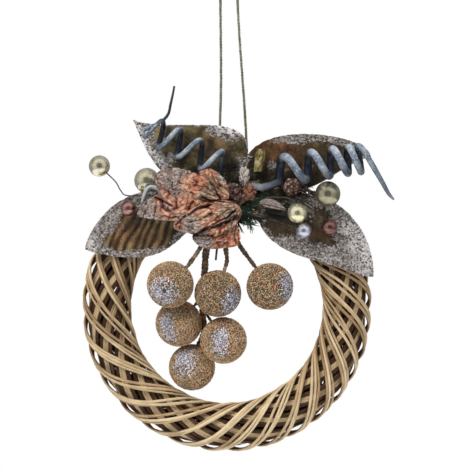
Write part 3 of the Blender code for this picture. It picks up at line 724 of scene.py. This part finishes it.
def petalRelief(shape):
    bloom, seed = bloomShape, shape["seed"]

    def relief(t, s, flat, edge):
        swell = math.sin(math.pi * min(t * 1.1 + 0.05, 1)) ** 0.6
        fold, deep = fanned(flat, seed), creased(flat, 40.0)
        fine = flatWave(flat, 1.8, seed) + 0.6 * flatWave(flat, 0.9, seed + 2)
        extra = swell * (bloom["height"] * (fold - 0.6) - bloom["creaseDepth"] * deep)
        extra += bloom["fineHeight"] * (abs(fine) - 0.2)
        extra += bloom["curl"] * smoothStep(3.5, 0, edge) * flatWave(flat, 4, seed + 7)
        frost = shape["silver"] * (1 - smoothStep(0.6, 3.5, edge)) + 0.25 * flatWave(flat, 7, seed + 3)
        dull = 0.6 * smoothStep(0.05, 0.35, flatWave(flat, 6, 50))
        paint = {
            "frost": frost + spots(bloom["frosted"], flat), "warm": min(spots(bloom["bright"], flat), 1.0),
            "cool": min(spots(bloom["olive"], flat) + dull, 1.0),
            # crest paint: painted highlight on the fold crests, weaker under the dim spots
            "crest": (fold + 0.5 * fine) * (1 - spots(bloom["dim"], flat)),
            # deep paint: painted shade in the valleys between folds and in the bloom's deep creases
            "deep": max(0.85 * smoothStep(0.42, 0.16, fold), 0.95 * smoothStep(0.25, 0.8, deep)),
        }
        return extra, paint

    return relief


def makeBloom():
    finish = petalFinish()
    for name, shape in petalShapes.items():
        base = petalCommon["start"] + shape["place"] * petalCommon["layer"]
        shape = {**petalCommon, **shape, "depth": (base, shape["rise"])}
        bm = sheetGrid(shape, petalRelief(shape))
        finishSheet(f"petal_{name}", bm, shape["thick"], finish, "copper_cloth", f"bloom_petal_{name}")

    # the crumpled ends of the bloom's cloth, at its heart and beside the thick coil
    for name, shape in knotShapes.items():
        shape = {**knotCommon, **shape}
        bm = bmesh.new()
        bmesh.ops.create_icosphere(bm, subdivisions=5, radius=1)
        frost, deep, crest, cool, warm = addPaint(bm, "frost", "deep", "crest", "cool", "warm")
        for vert in bm.verts:
            way = vert.co.normalized()
            fold = folded(*(way * 6), size=3.6, seed=shape["seed"])
            vert.co = placeOn(shape, way, powers(shape["size"], fold))
            vert[frost] = shape["frost"] + 0.4 * wave(*way, size=0.5, seed=shape["seed"])
            # deep paint is painted shade: dark in the creases and over the whole knot by its shade, less on
            # the crests; crest paint gives painted highlight on the crests
            vert[deep] = max(0.95 * smoothStep(0.65, 0.3, fold), shape["shade"] * (1 - 0.3 * fold))
            vert[crest], vert[cool], vert[warm] = fold, shape["cool"], shape["warm"]
        bmesh.ops.recalc_face_normals(bm, faces=bm.faces)
        addPiece(name, bm, finish, "copper_cloth")
    print("bloom made")


# Pine sprig: needles on short twigs, green at one place and dried away from it
sprigShape = dict(
    at=(-3, -9.6, 7.6), half=(18, 19.5, 3.9), twigs=16, needles=46, needleLength=8.0, twigRadius=(0.8, 0.4),
    needleRadius=(0.42, 0.12), sideNeedles=70, sideLength=5.5, nearest=2.4, twigReach=0.8,
    alongTwig=(0.25, 1), sweep=(0.15, 0.9), lengths=(0.7, 1.1), greenAt=(13, -20), driedFrom=(9, 22), seed=5,
    sideTwigs=((50, 1.6, 3.4), (44, -1.5, 3.6), (38, -5.5, 4.2), (30, -10.5, 4.4), (14.5, -23, 7),
               (21, -21, 6.8), (26, 3, 3.4), (49.5, -4.5, 3.4), (17, 8, 5), (4, 14, 3), (12, 10, 3.2)),
)


def needleFinish():
    look = Finish("pine needles", 0.5)
    mottle = look.noise(160, 3)
    green = look.ramp(mottle, (0.3, 10, 15, 10), (0.5, 26, 46, 32), (0.7, 58, 108, 74))
    dried = look.ramp(mottle, (0.3, 16, 14, 10), (0.5, 42, 40, 28), (0.7, 84, 82, 62))
    return look.done(look.mix(look.paint("tone"), green, dried), look.noise(1500, 2), 0.4, 0.0002)


def pineSprig():
    shape = sprigShape
    drift = random.Random(shape["seed"])
    middle, half = Vector(shape["at"]), shape["half"]
    thick, thin = shape["needleRadius"]
    twigRadius, twigTip = shape["twigRadius"]
    bm = bmesh.new()
    tone, = addPaint(bm, "tone")
    twigs = []
    for twig in range(shape["twigs"]):
        angle = fullTurn * (twig + drift.uniform(-0.2, 0.2)) / shape["twigs"]
        lift = drift.uniform(-0.6, 0.6) * half[2]
        tip = Vector((math.cos(angle) * half[0], math.sin(angle) * half[1], lift))
        tip = middle + tip * shape["twigReach"]
        twigs.append((tip, shape["needles"], shape["needleLength"]))
    twigs += [(Vector(tip), shape["sideNeedles"], shape["sideLength"]) for tip in shape["sideTwigs"]]
    for tip, count, longest in twigs:
        angle = math.atan2(tip.y - middle.y, tip.x - middle.x)
        path = sprayAll(smoothPath([middle, middle.lerp(tip, 0.5), tip], 5))
        radii = [twigRadius] * (len(path) - 1) + [twigTip]
        addTube(bm, path, radii, sides=4, tone=1.0)
        for _ in range(count):
            root = middle.lerp(tip, drift.uniform(*shape["alongTwig"]))
            sweep = angle + drift.choice((-1, 1)) * drift.uniform(*shape["sweep"])
            length = longest * drift.uniform(*shape["lengths"])
            reach = Vector((math.cos(sweep), math.sin(sweep), drift.uniform(-0.3, 0.3))).normalized() * length
            end = root + reach
            end.z = min(max(end.z, shape["nearest"]), middle.z + half[2])
            foot, point = spray(*root), spray(*end)
            needle = bmesh.ops.create_cone(
                bm, cap_ends=True, segments=4, radius1=thick, radius2=thin, depth=(point - foot).length,
                matrix=Matrix.Translation((foot + point) / 2) @ facing(point - foot))
            away = math.hypot(root.x - shape["greenAt"][0], root.y - shape["greenAt"][1])
            for vert in needle["verts"]:
                vert[tone] = smoothStep(*shape["driedFrom"], away)
    addPiece("pine_needles", bm, needleFinish(), "pine_needles", "pine_sprig")
    print("sprig made")


# Tendrils: a coil's middle runs as across and rise say, in powers of its turns, and wheels round by its lean;
# it loses thinning with each turn, and thinner where it begins
coilShapes = {
    "coil": dict(
        node="tendril_right", tube=2.4, radius=7.6, axisDepth=14.2, firstTurn=-0.4, points=115, sides=14,
        tailShade=0.45, tailFrom=(82, 88), pale=0.6, across=(36, 17.4, -1.6), rise=(9.9, 3, -0.36),
        lean=(-0.27, 1), shift=(0, 0), thinning=0.11, thinner=0, startRadii=(1.68, 1.92, 2.16),
        start=((13.6, -0.5, 7.8), (15.6, 0.6, 9), (20.5, -0.6, 10.5)),
        endRadii=(1.85, 1.75, 1.6, 1.4, 1.1, 0.6),
        end=((80.6, 21.6, 15.4), (84.4, 15.2, 15.6), (88.4, 8.4, 15.4), (93, 0.3, 14.8), (95.9, -4.8, 14.2),
             (98.8, -7.8, 13.6))),
    "curl": dict(
        node="tendril_left", tube=1.65, radius=7.5, axisDepth=12.4, firstTurn=0.1, points=92, sides=12,
        tailShade=0.93, tailFrom=(36, 39.5), pale=0, across=(-46.8, 10.44), rise=(34.7, -5.16),
        lean=(-0.464, -0.886), shift=(4, -2.8), thinning=0, thinner=0.6,
        start=((-31.1, 59.2, 14), (-31.9, 54.6, 14.6), (-33.4, 47.8, 15.6), (-34.4, 43, 16.6),
               (-37.3, 39.2, 17.2), (-41.3, 36.8, 16.9), (-46, 34.9, 15.6), (-49.6, 32.4, 13.8)),
        startRadii=(0.6, 0.7, 0.8, 0.85, 0.9, 0.95, 1, 1.05),
        end=((-3.2, 16, 8.6), (-3.8, 12.4, 7.8), (-4.1, 9.6, 7.6)), endRadii=(1.65, 1.65, 1.65)),
}
stubShape = dict(
    tube=1.2, tip=0.9, axisDepth=9.0, sides=10, tailShade=0, tailFrom=(90, 91), pale=0.75,
    route=((-22, -9.4, 7.8), (-25, -9, 8.8), (-36, -4, 9.6), (-44, -0.4, 10), (-47.6, -2.2, 10.6),
           (-50.2, -9, 10.8)),
)
tendrilCommon = dict(perTurn=26, paleFrom=(26, 18), dustedAndLit=(-0.5, -0.45, 0.74), uneven=0.06)


def tendrilFinish():
    look = Finish("frosted tendril", 0.36)
    speckle, fine = look.speckle(1300), look.noise(800, 3, 0.7)
    body = look.ramp(look.noise(130, 3), (0.36, 84, 100, 120), (0.5, 122, 136, 152), (0.64, 168, 176, 186))
    cover = look.grey(look.total((speckle, 0.6), (fine, 0.5)), 0.66, 0.95)
    colour = look.mix(cover, body, (206, 210, 212))
    colour = look.mix(look.paint("pale"), colour, (198, 206, 206))
    # shade paint: painted shade on the back runs and undersides, and the thin tails' own dark slate
    colour = look.mix(look.paint("shade"), colour, (20, 26, 42))
    return look.done(colour, look.total((speckle, 1), (fine, 1)), 0.45, 0.0003)


def tendrilPiece(name, node, path, radii, shape, finish):
    # painted shade on the coil's back runs and on the side turned away from the light above and to the left;
    # the thin tails are dark slate and the pale ends frosted
    path = smoothPath(path, 2)
    sizes = []
    for i, point in enumerate(path):
        thick = (radii[i // 2] + radii[(i + 1) // 2]) / 2
        sizes.append(thick * (1 + tendrilCommon["uneven"] * wave(*point, size=3.5)))
    bm = bmesh.new()
    addTube(bm, path, sizes, sides=shape["sides"])
    bm.normal_update()
    shade, pale = addPaint(bm, "shade", "pale")
    dustedAndLit = Vector(tendrilCommon["dustedAndLit"])
    for vert in bm.verts:
        right, forward, up = vert.co - spray(0, 0, 0)
        # painted shade on the coil's back runs, behind its axis
        behind = smoothStep(shape["axisDepth"] + 3.0, shape["axisDepth"] - 4.0, -forward)
        # painted shade on the side turned away from the light, whose direction this vector gives
        under = 0.7 * smoothStep(0.3, -0.5, vert.normal.dot(dustedAndLit))
        tail = shape["tailShade"] * smoothStep(*shape["tailFrom"], right if shape["tailFrom"][0] > 50 else up)
        vert[pale] = shape["pale"] * smoothStep(*tendrilCommon["paleFrom"], right)
        vert[shade] = max(behind, under, tail) * (1 - 0.5 * vert[pale])
    addPiece(name, bm, finish, "frosted_tendril", node)


def makeTendrils():
    finish = tendrilFinish()
    for name, shape in coilShapes.items():
        path, radii = sprayAll(shape["start"]), [*shape["startRadii"]]
        for i in range(shape["points"]):
            n = shape["firstTurn"] + i / tendrilCommon["perTurn"]
            wheel, shifted = shape["radius"] * math.cos(fullTurn * n), smoothStep(1.6, 3.5, n)
            middle = (powers(shape[key], n) for key in ("across", "rise"))
            flat = [part + lean * wheel + shift * shifted
                    for part, lean, shift in zip(middle, shape["lean"], shape["shift"])]
            path.append(spray(*flat, shape["axisDepth"] + shape["radius"] * math.sin(fullTurn * n)))
            thinner = shape["thinning"] * max(n, 0) + shape["thinner"] * (1 - smoothStep(0.1, 0.9, n))
            radii.append(shape["tube"] - thinner)
        path += sprayAll(shape["end"])
        tendrilPiece(f"tendril_{name}", shape["node"], path, [*radii, *shape["endRadii"]], shape, finish)

    shape = stubShape
    path = smoothPath(sprayAll(shape["route"]), 6)
    radii = [shape["tube"]] * (len(path) - 2) + [shape["tip"]] * 2
    tendrilPiece("tendril_hook", "tendril_stub", path, radii, shape, finish)
    print("tendrils made")


# Balls: foam cores rolled in grain, each with a silvery patch
ballShape = dict(core=0.95, coreDetail=4, grains=3200, grain=(0.56, 0.45, 0.38), sizes=(0.85, 1.2),
                 bedded=0.3, jitter=(0.03, 0.018), batch=80, seed=6, patchAt=0.72, patchEdge=0.22,
                 patchStrength=0.92, patchWave=0.16, patchTone=0.35, hole=(0.9955, 0.9975), holeDepth=1.5,
                 holeShade=1.5)
ballLooks = {  # where the silvery patch faces, how slim it is and how light the grain is
    "a": dict(patch=(-0.36, -0.85, -0.33), slim=0.1, light=0.04, hole=(-0.25, -0.93, -0.26)),
    "b": dict(patch=(0.62, -0.7, -0.38), slim=0.5, light=-0.12),
    "c": dict(patch=(0.82, -0.55, -0.05), slim=0.4, light=-0.08),
    "d": dict(patch=(-0.5, -0.8, -0.15), slim=0.7, light=0.12),
    "e": dict(patch=(-0.16, -0.98, 0), slim=1.0, light=0.12),
    "f": dict(patch=(-0.32, -0.85, 0.3), slim=0.4, light=0.14),
}


def grainFinish():
    look = Finish("grain", 0.6)
    fine = look.noise(1100, 2)
    level = look.total((look.paint("tone"), 0.5), (look.grey(fine, 0.34, 0.66), 0.5))
    hue = look.ramp(look.noise(210, 3, 0.7), (0.32, 208, 146, 118), (0.44, 206, 168, 130),
                    (0.56, 192, 170, 130), (0.68, 214, 178, 164))
    # the core between the grains has tone 0 and comes out darkest: painted shade between the grains; the
    # grains' tones differ at random
    depth = addRamp(look.tree, level, (0.18, (0.14, 0.14, 0.14)), (0.82, (1.4, 1.4, 1.4)))
    silver = look.ramp(level, (0.2, 124, 124, 140), (0.5, 184, 184, 200), (0.8, 246, 246, 255))
    colour = look.mix(look.paint("patch"), look.mix(1.0, hue, depth, "MULTIPLY"), silver)
    return look.done(colour, fine, 0.4, 0.0002)


def grainShell(radius):
    # one shell of small grains, which each ball turns its own way
    shape = ballShape
    drift = random.Random(shape["seed"])
    golden = math.pi * (3 - math.sqrt(5))
    sideways, anyway = shape["jitter"]
    whole, batch = bmesh.new(), bmesh.new()
    addPaint(whole, "tone")
    tone, = addPaint(batch, "tone")
    carrier = bpy.data.meshes.new("grains")
    for i in range(shape["grains"]):
        height = 1 - 2 * (i + 0.5) / shape["grains"]
        flat = math.sqrt(1 - height * height)
        angle = i * golden + drift.uniform(-sideways, sideways)
        way = Vector((flat * math.cos(angle), flat * math.sin(angle), height))
        way = (way + Vector([drift.uniform(-anyway, anyway) for _ in range(3)])).normalized()
        spin = facing(way) @ Matrix.Rotation(drift.uniform(0, math.pi), 4, "Z")
        long, wide, tall = (size * drift.uniform(*shape["sizes"]) for size in shape["grain"])
        rise = radius - tall - drift.uniform(0, shape["bedded"])
        turn = Matrix.Translation(way * rise) @ spin @ Matrix.Diagonal((long, wide, tall, 1))
        made = bmesh.ops.create_icosphere(batch, subdivisions=1, radius=1, matrix=turn)
        own = drift.random()
        for vert in made["verts"]:
            vert[tone] = own
        if i % shape["batch"] == shape["batch"] - 1 or i == shape["grains"] - 1:  # small batches are quicker
            batch.to_mesh(carrier)
            whole.from_mesh(carrier)
            batch.clear()
            tone, = addPaint(batch, "tone")
    whole.to_mesh(carrier)
    whole.free()
    batch.free()
    return carrier


def makeBalls():
    common = ballShape
    radius = roundNode("foam_ball_a")[1]
    shell = grainShell(radius)
    finish = grainFinish()
    drift = random.Random(common["seed"] + 1)
    for letter, look in ballLooks.items():
        bm = bmesh.new()
        bmesh.ops.create_icosphere(bm, subdivisions=common["coreDetail"], radius=radius * common["core"])
        tone, = addPaint(bm, "tone")
        bm.from_mesh(shell)
        spin = Matrix.Rotation(drift.uniform(0, 6), 4, "Z") @ Matrix.Rotation(drift.uniform(0, 6), 4, "X")
        bmesh.ops.transform(bm, matrix=spin, verts=bm.verts)
        silver, = addPaint(bm, "patch")
        towards = Vector(look["patch"]).normalized()
        aside = towards.cross((0, 0, 1)).normalized()
        hole = Vector(look.get("hole", (0, 0, 0))).normalized()
        for vert in bm.verts:
            way = vert.co.normalized()
            near = way.dot(towards) - common["patchAt"] - look["slim"] * way.dot(aside) ** 2
            near += common["patchWave"] * wave(*vert.co, size=4, seed=ord(letter))
            near += common["patchTone"] * (vert[tone] - 0.5)
            pierced = smoothStep(*common["hole"], way.dot(hole))
            shine = common["patchStrength"] * smoothStep(0.0, common["patchEdge"], near)
            vert[silver] = shine * (1 - pierced)
            vert[tone] += look["light"] - common["holeShade"] * pierced
            vert.co -= way * common["holeDepth"] * pierced
        bmesh.ops.translate(bm, vec=roundNode(f"foam_ball_{letter}")[0], verts=bm.verts)
        addPiece(f"grain_ball_{letter}", bm, finish, "grain", f"foam_ball_{letter}")
    bpy.data.meshes.remove(shell)
    print("balls made")


# Stems of the balls: wires wrapped in floral tape; two short ones branch off the longest
stemShapes = {
    "a": dict(radius=1.3, route=((-13.2, -29.6, 8.4), (-14.6, -34, 8.8), (-17.2, -38.6, 8.6),
                                 (-22.8, -46.6, 8.2))),
    "b": dict(radius=1.3, route=((-0.6, -31.8, 7), (-0.6, -37.5, 6.6), (0, -44, 6))),
    "c": dict(radius=1.3, route=((5.6, -30.6, 7), (7.8, -35.4, 6.2), (13, -42.6, 5.2))),
    "f": dict(radius=1.9, route=((-8.2, -31.6, 5.6), (-12.2, -37.8, 2.6), (-13.2, -49.2, -1),
                                 (-14.4, -61.8, -8.6), (-14.6, -73.8, -10.6), (-13.8, -85.8, -13.6))),
}
branchShape = dict(radius=0.8, taper=0.1, between=(3, 4), levels=(("d", 0.3), ("e", 0.9)))
tapeShape = dict(
    lap=2.3, lapHeight=0.12, uneven=0.3, plump=1.12, taper=0.2, steps=14, sides=10, above=4.0, into=0.4,
)


def wrappedStem(letter, path, radius, taper, finish):
    # the tape's turns stand out along the wire, which ends just inside its ball
    centre, ballRadius = roundNode(f"foam_ball_{letter}")
    end = centre + (path[-1] - centre).normalized() * (ballRadius - tapeShape["into"])
    if len(path) == 1:  # a branch, which starts on the side of the longest stem
        start = path[0] + (end - path[0]).normalized() * branchShape["radius"]
        path = [start, start.lerp(end, 0.5)]
    path = smoothPath([*path, end], tapeShape["steps"])
    radii = []
    for i, (point, run) in enumerate(zip(path, runsAlong(path))):
        lap = tapeShape["lapHeight"] * math.sin(fullTurn * run / tapeShape["lap"])
        lap += tapeShape["uneven"] * wave(*point, size=3.2)
        radii.append(radius * (1 - taper * i / (len(path) - 1)) * (tapeShape["plump"] + lap))
    bm = bmesh.new()
    addTube(bm, path, radii, sides=tapeShape["sides"])
    addPiece(f"stem_{letter}", bm, finish, "wrapped_wire", f"ball_stem_{letter}")


def makeStems():
    finish = mottledFinish("wrapped wire", 0.75, 0.0, (260, 3, 0.65), (
        (0.32, 46, 35, 25), (0.5, 108, 88, 68), (0.66, 176, 152, 126)), (1400, 3), 0.7, 0.0004)
    sprig = spray(*sprigShape["at"])
    for letter, shape in stemShapes.items():
        route = sprayAll(shape["route"])
        top = route[0] + (sprig - route[0]).normalized() * tapeShape["above"]
        wrappedStem(letter, [top, *route], shape["radius"], tapeShape["taper"], finish)
    trunk = sprayAll(stemShapes["f"]["route"])
    upper, lower = (trunk[i] for i in branchShape["between"])
    for letter, level in branchShape["levels"]:
        wrappedStem(letter, [upper.lerp(lower, level)], branchShape["radius"], branchShape["taper"], finish)
    print("stems made")


# Glass beads on thin wires
beadShapes = {
    "gold_far_left": dict(slot="gold_glass", wire=((-21.9, -6, 7.2), (-23.4, -6, 6.6), (-44, -5.4, 7.4),
                          (-59.1, -5.4, 7.8), (-63, -2.4, 7.8), (-66, 2.7, 7.4))),
    "gold_left": dict(slot="gold_glass", wire=((-22, -3.2, 5.6), (-22.6, -3, 5), (-33, -1, 3.6))),
    "copper_left": dict(slot="copper_glass", beadShade=0.25,
                        wire=((-22.2, -11.4, 7.4), (-23.6, -11.6, 7.2), (-40, -12.4, 8.2))),
    "gold_right": dict(slot="gold_glass", beadShade=0.5, wire=((43, -1.6, 7), (46.5, -2.2, 8.2))),
    "cream_right": dict(slot="cream_glass", wire=((14.6, -11.4, 8.2), (15.6, -11.6, 10), (24, -11, 11.6))),
    "silver_right": dict(slot="silver_glass", wire=((14.2, -16.2, 7.8), (15.4, -17, 8.4), (26, -19.4, 8.4))),
    "copper_right": dict(slot="copper_glass", beadShade=0.6, wire=((15.2, -7.6, 8.2), (16.4, -7.2, 10.4),
                         (32, -6.4, 11.6), (47.4, -9.6, 11), (54, -16, 9.6))),
}
beadCommon = dict(beadShade=0.0, segments=36, rings=24, bore=0.16, dimple=0.22, reach=0.8,
                  wireRadius=0.42, tip=0.42, sides=6, steps=8)
glassColours = {  # light, cloudy, and the colour that painted shade darkens a bead to
    "gold_glass": ((240, 235, 208), (202, 192, 158), (96, 92, 62)),
    "cream_glass": ((255, 253, 224), (238, 226, 174), (120, 104, 60)),
    "silver_glass": ((232, 236, 248), (168, 176, 200), (90, 98, 124)),
    "copper_glass": ((206, 160, 150), (132, 74, 68), (84, 30, 28)),
}


def glassFinish(name, light, cloudy, shadedColour):
    # a mirror coat under thin glass, a little cloudy in places
    look = Finish(name, 0.2, 0.85, **{"Coat Weight": 0.5, "Coat Roughness": 0.08})
    colour = look.ramp(look.noise(230), (0.35, *cloudy), (0.6, *light))
    # painted shade: a bead that sits in shade is darkened towards its third colour
    look.link(look.mix(look.paint("beadShade"), colour, shadedColour), "Base Color")
    roughness = addNode(look.tree, "MapRange", {"Value": look.noise(500, 2), "To Min": 0.16, "To Max": 0.34})
    look.link(roughness.outputs["Result"], "Roughness")
    return look.material


def makeBeads(wireFinish):
    glass = {slot: glassFinish(slot.replace("_", " "), *colours) for slot, colours in glassColours.items()}
    for name, shape in beadShapes.items():
        shape = {**beadCommon, **shape}
        centre, radius = roundNode(f"bead_{name}")
        path = sprayAll(shape["wire"])
        way = (path[-1] - centre).normalized()
        # the bead is bored along its wire: its poles are drawn in to two small dimples
        bm = bmesh.new()
        bmesh.ops.create_uvsphere(bm, u_segments=shape["segments"], v_segments=shape["rings"], radius=radius)
        beadShade, = addPaint(bm, "beadShade")
        for vert in bm.verts:
            vert[beadShade] = shape["beadShade"]
            flat = math.hypot(vert.co.x, vert.co.y) / radius
            vert.co.z *= 1 - shape["dimple"] * smoothStep(shape["bore"], 0.0, flat)
        bmesh.ops.transform(bm, matrix=Matrix.Translation(centre) @ facing(way), verts=bm.verts)
        addPiece(f"glass_bead_{name}", bm, glass[shape["slot"]], shape["slot"], f"bead_{name}")
        route = [*path, centre + way * radius * shape["reach"]]
        addWire(f"wire_{name}", [route], shape, wireFinish, f"bead_wire_{name}")
    print("beads made")


# Small things: the gold roll, the small pale leaf, the pod with its curls and the bare wire end
rollShape = dict(radius=(2.5, 3.5), height=13.4, foot=(18.6, 8.8, 7), arc=(150, 420), lean=(2.4, 0.6),
                 thick=0.7, lightSide=235, narrowed=0.3, grid=(60, 40), seed=18.0)
paleShape = dict(midrib=((19.2, -9.6), (27, -9), (35, -14)), sides=((2.6, 0.8, 0.8), (2.6, 0.8, 0.8)),
                 depth=(8, -2), cup=0.6, grid=(40, 14), thick=0.6, ragged=0.08, seed=21.0)
podShape = dict(at=(38.6, -0.4, 6.4), half=(5.2, 5.6, 4), lumps=26, lumpHeight=0.16, uneven=0.05, seed=9)
wireShapes = {
    "pod_curls": dict(nodes=(), wireRadius=0.55, tip=0.3, sides=6, steps=8, routes=(
        ((44, 1.5, 7.5), (47.5, -0.5, 9.5), (48.5, -6, 10), (45.5, -9, 9.5), (44, -6.5, 8.5)),
        ((40, -4.5, 9), (44.5, -9.5, 9.5), (50, -13.5, 9), (53, -17, 8)))),
    "bare_wire": dict(nodes=("wire_end",), wireRadius=0.65, tip=0.5, sides=8, steps=6, routes=(
        ((-4.4, -29, 9), (-5, -31.6, 9.6), (-6, -38, 10), (-6.6, -43.8, 10.2)),)),
}


def goldFinish():
    look = Finish("gold cloth", 0.4, 0.35)
    level = look.total((look.paint("crest"), 0.6), (look.noise(300, 3), 0.5))
    colour = look.ramp(level, (0.35, 66, 50, 26), (0.6, 138, 122, 72), (0.9, 214, 204, 152))
    return look.done(colour, look.noise(1300, 3), 0.6, 0.0003)


def paleFinish():
    look = Finish("pale frosted cloth", 0.5)
    colour = look.ramp(look.noise(800, 3, 0.7), (0.3, 118, 100, 96), (0.7, 212, 196, 188))
    return look.done(colour, look.speckle(1400), 0.7, 0.0003)


def podFinish():
    look = Finish("dried pod", 0.65)
    speckle = look.speckle(1100)
    mottle = look.ramp(look.noise(350, 3), (0.35, 42, 28, 20), (0.65, 108, 78, 62))
    colour = look.mix(look.grey(speckle, 0.8, 0.9), mottle, (190, 162, 152))
    return look.done(colour, look.total((speckle, 1), (look.noise(600, 3), 1)), 0.8, 0.0005)


def goldRoll():
    shape = rollShape
    narrow, wide = shape["radius"]
    begin, stop = shape["arc"]
    foot, lean = spray(*shape["foot"]), shape["lean"]
    bm = bmesh.new()
    bmesh.ops.create_grid(bm, x_segments=shape["grid"][0], y_segments=shape["grid"][1], size=0.5)
    crest, = addPaint(bm, "crest")
    for vert in bm.verts:
        level = vert.co.y + 0.5
        angle = math.radians(begin + (stop - begin) * (vert.co.x + 0.5))
        fold = folded(angle * wide * 1.6, level * shape["height"] * 0.7, size=4.2, seed=shape["seed"])
        size = narrow + (wide - narrow) * smoothStep(0, 0.7, level) - shape["thick"] / 2 + 0.7 * (fold - 0.6)
        size *= 1 - shape["narrowed"] * smoothStep(0.7, 1.0, level)
        # crest paint: painted highlight on the folds' crests, strongest on the side towards lightSide
        vert[crest] = fold * (0.3 + 0.75 * max(math.cos(angle - math.radians(shape["lightSide"])), 0))
        vert.co = foot + Vector((size * math.cos(angle), size * math.sin(angle), 0))
        vert.co += Vector((lean[0] * level, lean[1] * level, shape["height"] * level))
    bmesh.ops.recalc_face_normals(bm, faces=bm.faces)
    finishSheet("gold_roll", bm, shape["thick"], goldFinish(), "gold_cloth", "leaf_gold_roll")


def driedPod():
    shape = podShape
    drift = random.Random(shape["seed"])
    bm = bmesh.new()
    bmesh.ops.create_icosphere(bm, subdivisions=5, radius=1)
    knobs = [Vector([drift.gauss(0, 1) for _ in range(3)]).normalized() for _ in range(shape["lumps"])]
    for vert in bm.verts:
        lump = max(vert.co.dot(knob) for knob in knobs)
        size = 1 - shape["lumpHeight"] * (1 - smoothStep(0.8, 1.0, lump))
        size += shape["uneven"] * wave(*vert.co, size=0.3)
        vert.co = placeOn(shape, vert.co, size)
    bmesh.ops.recalc_face_normals(bm, faces=bm.faces)
    addPiece("pod", bm, podFinish(), "dried_pod", "dried_pod")


def paleRelief(t, s, flat, edge):
    return 0.5 * abs(s) - 0.3 + 0.2 * flatWave(flat, 2.5, 0), {}


def makeSmallThings(wireFinish):
    goldRoll()
    bm = sheetGrid(paleShape, paleRelief)
    finishSheet("small_leaf", bm, paleShape["thick"], paleFinish(), "pale_cloth", "leaf_small_pale")
    driedPod()
    for name, shape in wireShapes.items():
        addWire(name, [sprayAll(route) for route in shape["routes"]], shape, wireFinish, *shape["nodes"])
    print("small things made")


setUpStudio()
hangingCord()
makeRing()
makeLeaves()
makeBloom()
pineSprig()
makeTendrils()
makeBalls()
makeStems()
beadWire = mottledFinish("bead wire", 0.4, 0.8, (400, 2), (
    (0.35, 50, 46, 42), (0.65, 120, 112, 104)), (1800, 2), 0.3, 0.0001)
makeBeads(beadWire)
makeSmallThings(beadWire)
